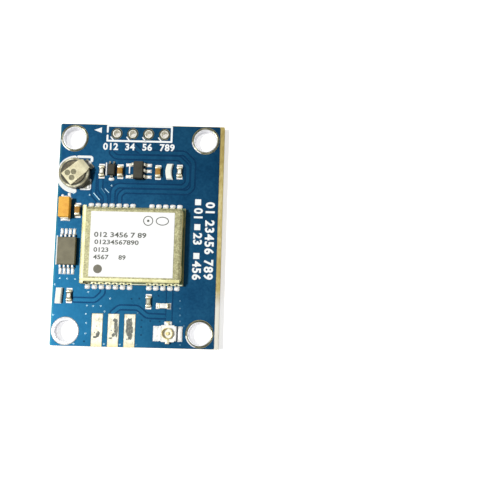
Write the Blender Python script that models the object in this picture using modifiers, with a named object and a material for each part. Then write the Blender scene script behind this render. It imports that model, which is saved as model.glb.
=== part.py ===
"""Satellite positioning module: a small circuit board with a shielded receiver.

Metres, +Z up. The board lies flat on Z = 0 with its centre on the Z axis. +X runs along the
board's short side and +Y along its long side, towards the row of four header holes.
"""
import math

import bmesh
import bpy
from mathutils import Matrix, Vector

MM = 0.001
NAME = "positioning_module"

# Clearances
SEAT_GAP = 0.02 * MM
FIT_GAP = 0.03 * MM
CUT_MARGIN = 0.5 * MM
SUNK = 0.10 * MM

# Bare board. It is as large as the receiver and the room that is left round it.
ROOM_LEFT = 4.47 * MM
ROOM_RIGHT = 5.03 * MM
ROOM_BELOW = 9.64 * MM
ROW_ABOVE_RECEIVER = 6.01 * MM
HEADER_ABOVE_ROW = 6.05 * MM
HEADER_INSET = 1.4 * MM
BOARD_THICKNESS = 1.6 * MM
BOARD_CORNER = 0.25 * MM
LAND_RISE = 0.05 * MM

# Copper tracks that show under the solder mask
TRACK_RISE = 0.04 * MM
TRACK_WIDTH = 0.34 * MM
TRACK_SPACING = 0.82 * MM
TRACK_CORNER = 1.4 * MM
TRACK_FROM_RIGHT = 4.15 * MM
TRACK_FROM_TOP = 4.4 * MM
TRACK_ABOVE_LANDS = 1.97 * MM
TRACK_END_INSET = 3.5 * MM

# Plated holes
MOUNT_HOLE_RADIUS = 1.7 * MM
MOUNT_LAND_RADIUS = 2.15 * MM
MOUNT_INSET = 2.3 * MM
PLATING_WALL = 0.12 * MM
PLATING_LAND = 0.06 * MM
HEADER_PITCH = 2.54 * MM
HEADER_COUNT = 4
HEADER_HOLE_RADIUS = 0.52 * MM
HEADER_LAND_RADIUS = 0.85 * MM
HEADER_FIRST_X = -3.77 * MM
HOLE_SEGMENTS = 24
HEADER_SEGMENTS = 16

# Edge pads for a soldered aerial connector
EDGE_PAD_PITCH = 2.54 * MM
EDGE_PAD_COUNT = 3
EDGE_PAD_WIDTH = 1.7 * MM
EDGE_PAD_LENGTH = 5.1 * MM
EDGE_PAD_THICKNESS = 0.12 * MM
EDGE_PAD_FIRST_X = -5.5 * MM

# Receiver. Its width follows from its two groups of contacts.
RECEIVER_LENGTH = 12.2 * MM
RECEIVER_BOARD = 0.8 * MM
CONTACT_PITCH = 1.1 * MM
CONTACT_GROUPS = (7, 5)
CONTACT_BREAK = 3.0 * MM
CONTACT_FIRST = 1.0 * MM
CONTACT_RADIUS = 0.3 * MM
CONTACT_SEGMENTS = 8
CONTACT_LAND_WIDTH = 0.75 * MM
CONTACT_LAND_OUT = 0.8 * MM
CONTACT_LAND_IN = 0.35 * MM
SHIELD_MARGIN = 0.3 * MM
SHIELD_HEIGHT = 1.55 * MM
SHIELD_SHEET = 0.2 * MM
SHIELD_BEND = 0.42 * MM
SHIELD_WINDOW = 6.1 * MM
SHIELD_WINDOW_HEIGHT = 0.9 * MM
SHIELD_CORNER_RELIEF = 0.55 * MM
LABEL_SIDE_MARGIN = 1.2 * MM
LABEL_END_MARGIN = 0.7 * MM
LABEL_THICKNESS = 0.08 * MM

# Parts under the shield
CHIP_SIDE = 5.0 * MM
CHIP_HEIGHT = 0.75 * MM
OSCILLATOR_WIDTH = 2.5 * MM
OSCILLATOR_LENGTH = 2.0 * MM
OSCILLATOR_HEIGHT = 0.8 * MM
FILTER_WIDTH = 1.4 * MM
FILTER_LENGTH = 1.1 * MM
FILTER_HEIGHT = 0.6 * MM

# Backup cell
CELL_INSET = 2.7 * MM
CELL_BELOW_ROW = 0.75 * MM
CELL_RADIUS = 2.4 * MM
CELL_HEIGHT = 1.25 * MM
CELL_WALL = 0.18 * MM
CELL_LIP = 0.34 * MM
CELL_GASKET = 0.16 * MM
CELL_CAP_RISE = 0.12 * MM
CELL_SEGMENTS = 28
TAB_WIDTH = 2.15 * MM
TAB_SHEET = 0.15 * MM
TAB_TAIL = 1.75 * MM
TAB_OVERHANG = 0.32 * MM
TAB_FOOT = 0.55 * MM
TAB_ANGLE = 45.0

# Tantalum capacitor, beside the receiver's upper edge
TANTALUM_INSET = 1.45 * MM
TANTALUM_BELOW_EDGE = 0.24 * MM
TANTALUM_WIDTH = 1.7 * MM
TANTALUM_LENGTH = 3.2 * MM
TANTALUM_HEIGHT = 1.5 * MM
TANTALUM_STRAP = 1.2 * MM
TANTALUM_SHEET = 0.1 * MM
TANTALUM_TUCK = 0.7 * MM

# Moulded parts with gull-wing leads
LEAD_SHEET = 0.12 * MM
LEAD_BEND = 0.09 * MM
MOULD_DRAFT = 0.12 * MM
MOULD_STANDOFF = 0.1 * MM
MOULD_EDGE = 0.03 * MM
MEMORY_INSET = 2.05 * MM
MEMORY_BELOW_CENTRE = 0.99 * MM
MEMORY_WIDTH = 3.0 * MM
MEMORY_LENGTH = 4.4 * MM
MEMORY_HEIGHT = 0.95 * MM
MEMORY_PITCH = 0.65 * MM
MEMORY_LEAD_WIDTH = 0.26 * MM
MEMORY_LEAD_REACH = 1.0 * MM
MEMORY_FOOT = 0.5 * MM
DIMPLE_RADIUS = 0.22 * MM
DIMPLE_INSET = 0.7 * MM
DIMPLE_DEPTH = 0.04 * MM
DIMPLE_SEGMENTS = 16
REGULATOR_WIDTH = 1.6 * MM
REGULATOR_LENGTH = 2.9 * MM
REGULATOR_HEIGHT = 1.1 * MM
REGULATOR_PITCH = 0.95 * MM
REGULATOR_LEAD_WIDTH = 0.4 * MM
REGULATOR_LEAD_REACH = 0.75 * MM
REGULATOR_FOOT = 0.4 * MM
TRANSISTOR_WIDTH = 1.25 * MM
TRANSISTOR_LENGTH = 1.8 * MM
TRANSISTOR_HEIGHT = 0.95 * MM
TRANSISTOR_PITCH = 0.65 * MM
TRANSISTOR_LEAD_WIDTH = 0.28 * MM
TRANSISTOR_LEAD_REACH = 0.55 * MM
TRANSISTOR_FOOT = 0.3 * MM

# Coaxial socket
SOCKET_FROM_RIGHT = 7.2 * MM
SOCKET_FROM_BOTTOM = 2.25 * MM
SOCKET_SIDE = 2.6 * MM
SOCKET_BASE_HEIGHT = 0.4 * MM
SOCKET_CHAMFER = 0.35 * MM
SOCKET_RING_RADIUS = 1.0 * MM
SOCKET_RING_WALL = 0.14 * MM
SOCKET_SEGMENTS = 24
SOCKET_HEIGHT = 1.25 * MM
SOCKET_PIN_RADIUS = 0.25 * MM
SOCKET_PIN_HEIGHT = 1.0 * MM
SOCKET_PIN_SEGMENTS = 16
SOCKET_SHEET = 0.12 * MM
SOCKET_TAB_WIDTH = 1.5 * MM
SOCKET_TERMINAL_WIDTH = 0.6 * MM
SOCKET_FOOT = 0.6 * MM

# Chip parts
CHIP_LENGTH = 1.6 * MM
CHIP_WIDTH = 0.8 * MM
RESISTOR_HEIGHT = 0.45 * MM
CAPACITOR_HEIGHT = 0.8 * MM
LAMP_HEIGHT = 0.6 * MM
CHIP_TERMINAL = 0.32 * MM
CHIP_SKIN = 0.02 * MM
CHIP_FILLET = 0.28 * MM
CHIP_EDGE = 0.03 * MM
LAMP_BASE = 0.22 * MM
LAMP_RESIN = 1.15 * MM
LAMP_DRAFT = 0.1 * MM

# The top row from left to right: steps between the parts' centres, from the cell onwards
ROW_STEPS = {
    "resistor_1": 4.17 * MM,
    "transistor": 1.58 * MM,
    "capacitor_1": 1.38 * MM,
    "regulator": 2.92 * MM,
    "capacitor_2": 3.08 * MM,
    "lamp_1": 1.67 * MM,
    "resistor_2": 1.74 * MM,
}

# Places of the chip parts below the receiver, from the board's edges and its lower edge
LAMP_INSET = 1.1 * MM
LAMP_STEP = 1.6 * MM
LAMP_BELOW_RECEIVER = 1.84 * MM
RESISTOR_FROM_RIGHT = 10.38 * MM
RESISTOR_BELOW_RECEIVER = 2.49 * MM
INDUCTOR_STEP = 2.36 * MM
INDUCTOR_DROP = 0.64 * MM
ROW_DROP = 0.15 * MM

RECEIVER_WIDTH = 2 * CONTACT_FIRST + (sum(CONTACT_GROUPS) - 2) * CONTACT_PITCH + CONTACT_BREAK
BOARD_WIDTH = ROOM_LEFT + RECEIVER_WIDTH + ROOM_RIGHT
BOARD_LENGTH = (ROOM_BELOW + RECEIVER_LENGTH + ROW_ABOVE_RECEIVER + HEADER_ABOVE_ROW
                + HEADER_INSET)
TOP = BOARD_LENGTH / 2
BOTTOM = -TOP
RIGHT = BOARD_WIDTH / 2
LEFT = -RIGHT
FACE_Z = BOARD_THICKNESS
SEAT_Z = BOARD_THICKNESS + LAND_RISE + SEAT_GAP
RECEIVER_FACE_Z = SEAT_Z + RECEIVER_BOARD
RECEIVER_LEFT = LEFT + ROOM_LEFT
RECEIVER_BOTTOM = BOTTOM + ROOM_BELOW
RECEIVER_TOP = RECEIVER_BOTTOM + RECEIVER_LENGTH
RECEIVER_CENTRE = Vector((RECEIVER_LEFT + RECEIVER_WIDTH / 2, RECEIVER_BOTTOM + RECEIVER_LENGTH / 2))
HEADER_Y = TOP - HEADER_INSET
TOP_ROW_Y = HEADER_Y - HEADER_ABOVE_ROW
CELL_CENTRE = Vector((LEFT + CELL_INSET, TOP_ROW_Y - CELL_BELOW_ROW))
TANTALUM_SIZE = Vector((TANTALUM_WIDTH, TANTALUM_LENGTH, TANTALUM_HEIGHT))
TANTALUM_CENTRE = Vector((LEFT + TANTALUM_INSET, RECEIVER_TOP - TANTALUM_BELOW_EDGE))
MEMORY_SIZE = Vector((MEMORY_WIDTH, MEMORY_LENGTH, MEMORY_HEIGHT))
MEMORY_CENTRE = Vector((LEFT + MEMORY_INSET, RECEIVER_CENTRE.y - MEMORY_BELOW_CENTRE))
REGULATOR_SIZE = Vector((REGULATOR_WIDTH, REGULATOR_LENGTH, REGULATOR_HEIGHT))
TRANSISTOR_SIZE = Vector((TRANSISTOR_WIDTH, TRANSISTOR_LENGTH, TRANSISTOR_HEIGHT))
SOCKET_CENTRE = Vector((RIGHT - SOCKET_FROM_RIGHT, BOTTOM + SOCKET_FROM_BOTTOM))
RESISTOR = Vector((CHIP_LENGTH, CHIP_WIDTH, RESISTOR_HEIGHT))
CAPACITOR = Vector((CHIP_LENGTH, CHIP_WIDTH, CAPACITOR_HEIGHT))
LAMP = Vector((CHIP_LENGTH, CHIP_WIDTH, LAMP_HEIGHT))


def row_place(name, drop=0.0):
    """The centre of a part in the top row, set below the row's line by a drop."""
    names = list(ROW_STEPS)
    steps = [ROW_STEPS[before] for before in names[:names.index(name) + 1]]
    return Vector((CELL_CENTRE.x + sum(steps), TOP_ROW_Y - drop))


REGULATOR_CENTRE = row_place("regulator")
TRANSISTOR_CENTRE = row_place("transistor")
BESIDE_TANTALUM = Vector(((TANTALUM_CENTRE.x + TANTALUM_WIDTH / 2 + RECEIVER_LEFT) / 2,
                          TANTALUM_CENTRE.y - 2 * ROW_DROP))
LAMP_PLACE = Vector((LEFT + LAMP_INSET, RECEIVER_BOTTOM - LAMP_BELOW_RECEIVER))
RESISTOR_PLACE = Vector((RIGHT - RESISTOR_FROM_RIGHT, RECEIVER_BOTTOM - RESISTOR_BELOW_RECEIVER))

# Chip parts by name: centre, body, angle of the long axis from +X, material
CHIPS = {
    "resistor_1": (row_place("resistor_1", ROW_DROP), RESISTOR, 90, "resistor"),
    "capacitor_1": (row_place("capacitor_1", ROW_DROP), CAPACITOR, 90, "ceramic"),
    "capacitor_2": (row_place("capacitor_2", ROW_DROP), CAPACITOR, 90, "ceramic"),
    "lamp_1": (row_place("lamp_1"), LAMP, 90, "lamp"),
    "resistor_2": (row_place("resistor_2"), RESISTOR, 90, "resistor"),
    "capacitor_3": (BESIDE_TANTALUM, CAPACITOR, 90, "ceramic"),
    "lamp_2": (LAMP_PLACE, LAMP, 90, "lamp"),
    "resistor_3": (LAMP_PLACE + Vector((LAMP_STEP, 0.0)), RESISTOR, 90, "resistor"),
    "resistor_4": (RESISTOR_PLACE, RESISTOR, 90, "resistor"),
    "inductor_1": (RESISTOR_PLACE + Vector((INDUCTOR_STEP, -INDUCTOR_DROP)), CAPACITOR, 0,
                   "inductor"),
}

# Base colour, metallic and roughness of each material
MATERIALS = {
    "solder_mask": ((0.015, 0.105, 0.30), 0.0, 0.35),
    "tin": ((0.80, 0.79, 0.74), 1.0, 0.3),
    "gold": ((0.85, 0.65, 0.30), 1.0, 0.3),
    "receiver_laminate": ((0.06, 0.16, 0.07), 0.0, 0.5),
    "nickel_silver": ((0.62, 0.57, 0.42), 1.0, 0.35),
    "label_paper": ((0.88, 0.88, 0.86), 0.0, 0.6),
    "steel": ((0.60, 0.57, 0.50), 1.0, 0.3),
    "gasket": ((0.05, 0.05, 0.045), 0.0, 0.5),
    "tantalum": ((0.80, 0.36, 0.05), 0.0, 0.45),
    "moulding": ((0.055, 0.05, 0.045), 0.0, 0.5),
    "resistor": ((0.75, 0.75, 0.70), 0.0, 0.4),
    "ceramic": ((0.50, 0.28, 0.12), 0.0, 0.45),
    "lamp": ((0.85, 0.85, 0.78), 0.0, 0.3),
    "inductor": ((0.82, 0.82, 0.80), 0.0, 0.4),
    "socket_plastic": ((0.86, 0.86, 0.82), 0.0, 0.45),
}


def new_collection(name):
    """A collection linked to the scene."""
    collection = bpy.data.collections.new(name)
    bpy.context.scene.collection.children.link(collection)
    return collection


def material(name):
    """The named Principled material, made the first time it is asked for."""
    if name in bpy.data.materials:
        return bpy.data.materials[name]
    colour, metallic, roughness = MATERIALS[name]
    new = bpy.data.materials.new(name)
    new.use_nodes = True
    shader = new.node_tree.nodes["Principled BSDF"]
    shader.inputs["Base Color"].default_value = (*colour, 1.0)
    shader.inputs["Metallic"].default_value = metallic
    shader.inputs["Roughness"].default_value = roughness
    new.diffuse_color = (*colour, 1.0)
    return new


def add_object(name, mesh, collection, material_name=None):
    """An object for a mesh, in a collection, with its own material."""
    obj = bpy.data.objects.new(name, mesh)
    collection.objects.link(obj)
    if material_name:
        mesh.materials.append(material(material_name))
    if collection is CUTTERS:
        obj.hide_render = True
        obj.display_type = "WIRE"
    return obj


def mesh_from(bm, name):
    """A mesh holding what a bmesh holds."""
    mesh = bpy.data.meshes.new(name)
    bm.to_mesh(mesh)
    bm.free()
    return mesh


def add_box(bm, corner, opposite):
    """Adds a box between two corners to a bmesh."""
    low = Vector(min(pair) for pair in zip(corner, opposite))
    high = Vector(max(pair) for pair in zip(corner, opposite))
    made = bmesh.ops.create_cube(bm, size=1.0)["verts"]
    bmesh.ops.scale(bm, vec=high - low, verts=made)
    bmesh.ops.translate(bm, vec=(low + high) / 2, verts=made)


def add_cylinder(bm, centre, radius, low, high, segments):
    """Adds an upright cylinder between two heights to a bmesh."""
    made = bmesh.ops.create_cone(bm, cap_ends=True, segments=segments, radius1=radius,
                                 radius2=radius, depth=high - low)["verts"]
    bmesh.ops.translate(bm, vec=(centre[0], centre[1], (low + high) / 2), verts=made)


def block(name, low, high, collection, material_name=None):
    """A box between two corners."""
    bm = bmesh.new()
    add_box(bm, low, high)
    return add_object(name, mesh_from(bm, name), collection, material_name)


def rod(name, centre, radius, low, high, collection, segments, material_name=None):
    """An upright cylinder between two heights."""
    bm = bmesh.new()
    add_cylinder(bm, centre, radius, low, high, segments)
    return add_object(name, mesh_from(bm, name), collection, material_name)


def bevel(obj, width, segments=1, angle=35.0):
    """Rounds the edges that turn by more than an angle."""
    modifier = obj.modifiers.new("edges", "BEVEL")
    modifier.width = width
    modifier.segments = segments
    modifier.limit_method = "ANGLE"
    modifier.angle_limit = math.radians(angle)
    modifier.use_clamp_overlap = True


def boolean(obj, other, operation):
    """Joins or cuts an object with another one, whose own parts may meet."""
    modifier = obj.modifiers.new(operation.lower(), "BOOLEAN")
    modifier.operation = operation
    modifier.use_self = True
    modifier.object = other


def turned(name, profile, centre, base_z, segments, collection, material_name, closed=False):
    """A turned shape: the profile is (radius, height) pairs that run down the outer side."""
    bm = bmesh.new()
    verts = [bm.verts.new((radius, 0.0, height)) for radius, height in profile]
    pairs = list(zip(verts, verts[1:]))
    if closed:
        pairs.append((verts[-1], verts[0]))
    for pair in pairs:
        bm.edges.new(pair)
    obj = add_object(name, mesh_from(bm, name), collection, material_name)
    obj.location = (centre[0], centre[1], base_z)
    screw = obj.modifiers.new("turn", "SCREW")
    screw.axis = "Z"
    screw.angle = math.tau
    screw.steps = screw.render_steps = segments
    screw.use_merge_vertices = True
    screw.merge_threshold = 1e-6
    screw.use_smooth_shade = True
    return obj


def bent_path(points, radius, steps=2):
    """A path of (distance, height) points whose inner corners are rounded to a radius."""
    path = [Vector(points[0])]
    for before, corner, after in zip(points, points[1:], points[2:]):
        corner = Vector(corner)
        towards = (Vector(before) - corner).normalized()
        onwards = (Vector(after) - corner).normalized()
        half = towards.angle(onwards) / 2
        reach = radius / math.tan(half)
        centre = corner + (towards + onwards).normalized() * radius / math.sin(half)
        start = corner + towards * reach - centre
        turn = start.angle_signed(corner + onwards * reach - centre)
        for step in range(steps + 1):
            path.append(centre + Matrix.Rotation(-turn * step / steps, 2) @ start)
    path.append(Vector(points[-1]))
    return path


def bent_strip(name, points, bend, sheet, width, place, collection, material_name=None):
    """A strip of bent sheet. Its points run outwards along the place's own X axis."""
    path = bent_path(points, bend)
    bm = bmesh.new()
    rows = [[bm.verts.new((s, side * width / 2, z)) for side in (-1, 1)] for s, z in path]
    for (a, b), (c, d) in zip(rows, rows[1:]):
        bm.faces.new((a, c, d, b))
    obj = add_object(name, mesh_from(bm, name), collection, material_name)
    obj.matrix_world = place
    solid = obj.modifiers.new("sheet", "SOLIDIFY")
    solid.thickness = sheet
    solid.offset = 0.0
    solid.use_even_offset = True
    return obj


def placed(x, y, z, degrees):
    """A place on the board, turned about the upright axis."""
    return Matrix.Translation((x, y, z)) @ Matrix.Rotation(math.radians(degrees), 4, "Z")


def outline_solid(name, outline, low, high, collection, material_name=None):
    """A flat outline given thickness between two heights."""
    curve = bpy.data.curves.new(name, "CURVE")
    curve.dimensions = "2D"
    curve.fill_mode = "BOTH"
    curve.extrude = (high - low) / 2
    spline = curve.splines.new("POLY")
    spline.points.add(len(outline) - 1)
    for point, (x, y) in zip(spline.points, outline):
        point.co = (x, y, 0.0, 1.0)
    spline.use_cyclic_u = True
    source = bpy.data.objects.new(name + "_outline", curve)
    bpy.context.scene.collection.objects.link(source)
    graph = bpy.context.evaluated_depsgraph_get()
    mesh = bpy.data.meshes.new_from_object(source.evaluated_get(graph))
    bpy.data.objects.remove(source)
    bm = bmesh.new()
    bm.from_mesh(mesh)
    bpy.data.meshes.remove(mesh)
    bmesh.ops.remove_doubles(bm, verts=bm.verts, dist=1e-6)
    bmesh.ops.recalc_face_normals(bm, faces=bm.faces)
    bmesh.ops.translate(bm, vec=(0, 0, (low + high) / 2), verts=bm.verts)
    return add_object(name, mesh_from(bm, name), collection, material_name)


def ribbon_outline(points, width):
    """The outline of a track of constant width along a path, with mitred corners."""
    points = [Vector(point) for point in points]
    sides = []
    for index, point in enumerate(points):
        before = points[max(index - 1, 0)]
        after = points[min(index + 1, len(points) - 1)]
        arriving = (point - before).normalized() if index else (after - point).normalized()
        leaving = (after - point).normalized() if point != after else arriving
        normal = Vector((-(arriving + leaving).y, (arriving + leaving).x)).normalized()
        across = Vector((-arriving.y, arriving.x))
        sides.append((point, normal * (width / 2 / normal.dot(across))))
    left = [point + offset for point, offset in sides]
    right = [point - offset for point, offset in sides]
    return left + right[::-1]


def contact_columns():
    """X of every receiver contact along one long side."""
    x = RECEIVER_CENTRE.x - RECEIVER_WIDTH / 2 + CONTACT_FIRST
    columns = []
    for count in CONTACT_GROUPS:
        columns += [x + CONTACT_PITCH * index for index in range(count)]
        x = columns[-1] + CONTACT_BREAK
    return columns


def header_columns():
    """X of every header hole."""
    return [HEADER_FIRST_X + HEADER_PITCH * index for index in range(HEADER_COUNT)]


def edge_pad_columns():
    """X of every edge pad."""
    return [EDGE_PAD_FIRST_X + EDGE_PAD_PITCH * index for index in range(EDGE_PAD_COUNT)]


def mounting_places():
    """Centres of the four mounting holes."""
    x, y = RIGHT - MOUNT_INSET, TOP - MOUNT_INSET
    return [(-x, y), (x, y), (-x, -y), (x, -y)]


def plated_holes():
    """Centre, bore, land and facets of every plated hole."""
    for place in mounting_places():
        yield place, MOUNT_HOLE_RADIUS, MOUNT_LAND_RADIUS, HOLE_SEGMENTS
    for x in header_columns():
        yield (x, HEADER_Y), HEADER_HOLE_RADIUS, HEADER_LAND_RADIUS, HEADER_SEGMENTS


def lead_rows(size, pitch, per_side, along):
    """Offset and direction of every lead of a moulded part, for its two sides."""
    rows = []
    for side, columns in per_side.items():
        for column in columns:
            offset = column * pitch
            if along == "x":
                rows.append((Vector((offset, side * size.y / 2)), 90 * side))
            else:
                rows.append((Vector((side * size.x / 2, offset)), 0 if side > 0 else 180))
    return rows


MEMORY_ROWS = {1: (-1.5, -0.5, 0.5, 1.5), -1: (-1.5, -0.5, 0.5, 1.5)}
REGULATOR_ROWS = {1: (-1, 0, 1), -1: (-1, 1)}
TRANSISTOR_ROWS = {1: (-0.5, 0.5), -1: (0,)}


def lead_lands():
    """Low and high corners of the lands under every gull-wing lead."""
    parts = (
        (MEMORY_CENTRE, MEMORY_SIZE, MEMORY_PITCH, MEMORY_ROWS, MEMORY_LEAD_REACH,
         MEMORY_FOOT, MEMORY_LEAD_WIDTH, "x"),
        (REGULATOR_CENTRE, REGULATOR_SIZE, REGULATOR_PITCH, REGULATOR_ROWS,
         REGULATOR_LEAD_REACH, REGULATOR_FOOT, REGULATOR_LEAD_WIDTH, "y"),
        (TRANSISTOR_CENTRE, TRANSISTOR_SIZE, TRANSISTOR_PITCH, TRANSISTOR_ROWS,
         TRANSISTOR_LEAD_REACH, TRANSISTOR_FOOT, TRANSISTOR_LEAD_WIDTH, "x"),
    )
    for centre, size, pitch, rows, reach, foot, width, along in parts:
        for offset, degrees in lead_rows(size, pitch, rows, along):
            outward = Vector((math.cos(math.radians(degrees)), math.sin(math.radians(degrees))))
            across = Vector((-outward.y, outward.x)) * (width / 2 + SEAT_GAP)
            inner = centre + offset + outward * (reach - foot - SEAT_GAP)
            outer = centre + offset + outward * (reach + foot)
            yield inner - across, outer + across


def chip_lands():
    """Corners of the lands under both ends of every chip part."""
    for centre, size, degrees, _ in CHIPS.values():
        turn = Matrix.Rotation(math.radians(degrees), 2)
        for end in (-1, 1):
            inner = Vector((end * (size.x / 2 - CHIP_TERMINAL), -size.y / 2))
            outer = Vector((end * (size.x / 2 + CHIP_FILLET), size.y / 2))
            yield Vector(centre) + turn @ inner, Vector(centre) + turn @ outer


def receiver_lands():
    """Corners of the lands under the receiver's contacts."""
    for x in contact_columns():
        for side in (-1, 1):
            edge = RECEIVER_CENTRE.y + side * RECEIVER_LENGTH / 2
            yield (Vector((x - CONTACT_LAND_WIDTH / 2, edge - side * CONTACT_LAND_IN)),
                   Vector((x + CONTACT_LAND_WIDTH / 2, edge + side * CONTACT_LAND_OUT)))


def tantalum_lands():
    """Corners of the lands under the tantalum capacitor's straps."""
    half = TANTALUM_SIZE.y / 2
    for side in (-1, 1):
        yield (TANTALUM_CENTRE + Vector((-TANTALUM_STRAP / 2, side * (half - TANTALUM_TUCK))),
               TANTALUM_CENTRE + Vector((TANTALUM_STRAP / 2, side * (half + CHIP_FILLET))))


def add_lands():
    """One mesh of all the raised lands."""
    bm = bmesh.new()
    for a, b in (*receiver_lands(), *lead_lands(), *chip_lands(), *tantalum_lands()):
        add_box(bm, (*a, FACE_Z - SUNK), (*b, FACE_Z + LAND_RISE))
    return add_object("lands", mesh_from(bm, "lands"), CUTTERS)


def tracks():
    """Centre lines of the copper tracks that show under the solder mask."""
    columns = contact_columns()
    header = header_columns()
    lands_top = RECEIVER_TOP + CONTACT_LAND_OUT
    lands_bottom = RECEIVER_BOTTOM - CONTACT_LAND_OUT
    corner, half = TRACK_CORNER, TRACK_CORNER / 2
    right, top, back = RIGHT - TRACK_FROM_RIGHT, TOP - TRACK_FROM_TOP, lands_top + TRACK_ABOVE_LANDS
    end = columns[4]
    yield [(header[1], HEADER_Y - HEADER_LAND_RADIUS + SUNK), (header[1], top + corner),
           (header[1] + corner, top), (right - corner, top), (right, top - corner),
           (right, back + half), (right - half, back), (end + half, back),
           (end, back - half), (end, lands_top - SUNK)]
    right, top, back = right - TRACK_SPACING, top - TRACK_SPACING, back + TRACK_SPACING
    start, end = header[0] - half, columns[3]
    yield [(start, top + half), (start + half, top), (right - corner, top),
           (right, top - corner), (right, back + half), (right - half, back),
           (end + half, back), (end, back - half), (end, lands_top - SUNK)]
    end = columns[2]
    level = lands_bottom - corner
    yield [(end, lands_bottom + SUNK), (end, level + half), (end - half, level),
           (LEFT + TRACK_END_INSET, level)]
    pads, pad_top = edge_pad_columns(), BOTTOM + EDGE_PAD_LENGTH
    level = pad_top + corner
    yield [(pads[1], pad_top + 2 * SEAT_GAP), (pads[1], level - half), (pads[1] + half, level),
           (pads[-1] + half, level), (pads[-1] + half + corner, level - corner),
           (SOCKET_CENTRE.x - corner, level - corner)]


def add_circuit_board():
    """The laminate with its plated-hole openings, raised lands and raised tracks."""
    board = block("circuit_board", (LEFT, BOTTOM, 0), (RIGHT, TOP, BOARD_THICKNESS), PARTS,
                  "solder_mask")
    edges = board.modifiers.new("corners", "BEVEL")
    edges.width = BOARD_CORNER
    edges.segments = 3
    edges.limit_method = "WEIGHT"
    weights = board.data.attributes.new("bevel_weight_edge", "FLOAT", "EDGE")
    for edge, value in zip(board.data.edges, weights.data):
        a, b = (board.data.vertices[index].co for index in edge.vertices)
        value.value = 1.0 if abs(a.z - b.z) > SUNK else 0.0
    copper = [add_lands()]
    for index, path in enumerate(tracks()):
        outline = ribbon_outline(path, TRACK_WIDTH)
        copper.append(outline_solid(f"track_{index + 1}", outline, FACE_Z - SUNK,
                                    FACE_Z + TRACK_RISE, CUTTERS))
    for obj in copper:
        boolean(board, obj, "UNION")
    bores, recesses, pads = bmesh.new(), bmesh.new(), bmesh.new()
    floor = PLATING_LAND + SEAT_GAP
    for place, bore, land, segments in plated_holes():
        add_cylinder(bores, place, bore + PLATING_WALL + FIT_GAP, -CUT_MARGIN,
                     FACE_Z + CUT_MARGIN, segments)
        add_cylinder(recesses, place, land + FIT_GAP, -CUT_MARGIN, floor, segments)
        add_cylinder(recesses, place, land + FIT_GAP, FACE_Z - PLATING_LAND / 2 - SEAT_GAP,
                     FACE_Z + CUT_MARGIN, segments)
    for x in edge_pad_columns():
        reach = EDGE_PAD_WIDTH / 2 + FIT_GAP
        add_box(pads, (x - reach, BOTTOM - CUT_MARGIN,
                       FACE_Z - EDGE_PAD_THICKNESS / 2 - SEAT_GAP),
                (x + reach, BOTTOM + EDGE_PAD_LENGTH + FIT_GAP, FACE_Z + CUT_MARGIN))
    for name, cuts in (("bores", bores), ("land_recesses", recesses), ("pad_recesses", pads)):
        boolean(board, add_object(name, mesh_from(cuts, name), CUTTERS), "DIFFERENCE")


def add_plating(name, place, bore, land, segments):
    """The plated lining of a hole, with a land on each face of the board."""
    outer = bore + PLATING_WALL
    top = FACE_Z + PLATING_LAND / 2
    profile = [(bore, top), (land, top), (land, top - PLATING_LAND), (outer, top - PLATING_LAND),
               (outer, PLATING_LAND), (land, PLATING_LAND), (land, 0.0), (bore, 0.0)]
    turned(name, profile, place, 0.0, segments, PARTS, "tin", closed=True)


def add_plated_holes():
    """The linings of the mounting holes and of the header holes."""
    mounting = len(mounting_places())
    for index, hole in enumerate(plated_holes()):
        if index < mounting:
            add_plating(f"mounting_hole_plating_{index + 1}", *hole)
        else:
            add_plating(f"header_hole_plating_{index + 1 - mounting}", *hole)


def add_edge_pads():
    """The tinned pads at the board's lower edge."""
    for index, x in enumerate(edge_pad_columns()):
        low = (x - EDGE_PAD_WIDTH / 2, BOTTOM, FACE_Z - EDGE_PAD_THICKNESS / 2)
        high = (x + EDGE_PAD_WIDTH / 2, BOTTOM + EDGE_PAD_LENGTH,
                FACE_Z + EDGE_PAD_THICKNESS / 2)
        pad = block(f"edge_pad_{index + 1}", low, high, PARTS, "tin")
        bevel(pad, EDGE_PAD_THICKNESS / 4)


def add_receiver_board():
    """The receiver's own board, with a half-round contact notch at every contact."""
    low = (RECEIVER_LEFT, RECEIVER_BOTTOM, SEAT_Z)
    high = (RECEIVER_LEFT + RECEIVER_WIDTH, RECEIVER_TOP, RECEIVER_FACE_Z)
    board = block("receiver_board", low, high, PARTS, "receiver_laminate")
    notches = bmesh.new()
    for column in contact_columns():
        for edge in (RECEIVER_BOTTOM, RECEIVER_TOP):
            add_cylinder(notches, (column, edge), CONTACT_RADIUS, SEAT_Z - CUT_MARGIN,
                         RECEIVER_FACE_Z + CUT_MARGIN, CONTACT_SEGMENTS)
    cutter = add_object("contact_notches", mesh_from(notches, "contact_notches"), CUTTERS)
    boolean(board, cutter, "DIFFERENCE")


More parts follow.
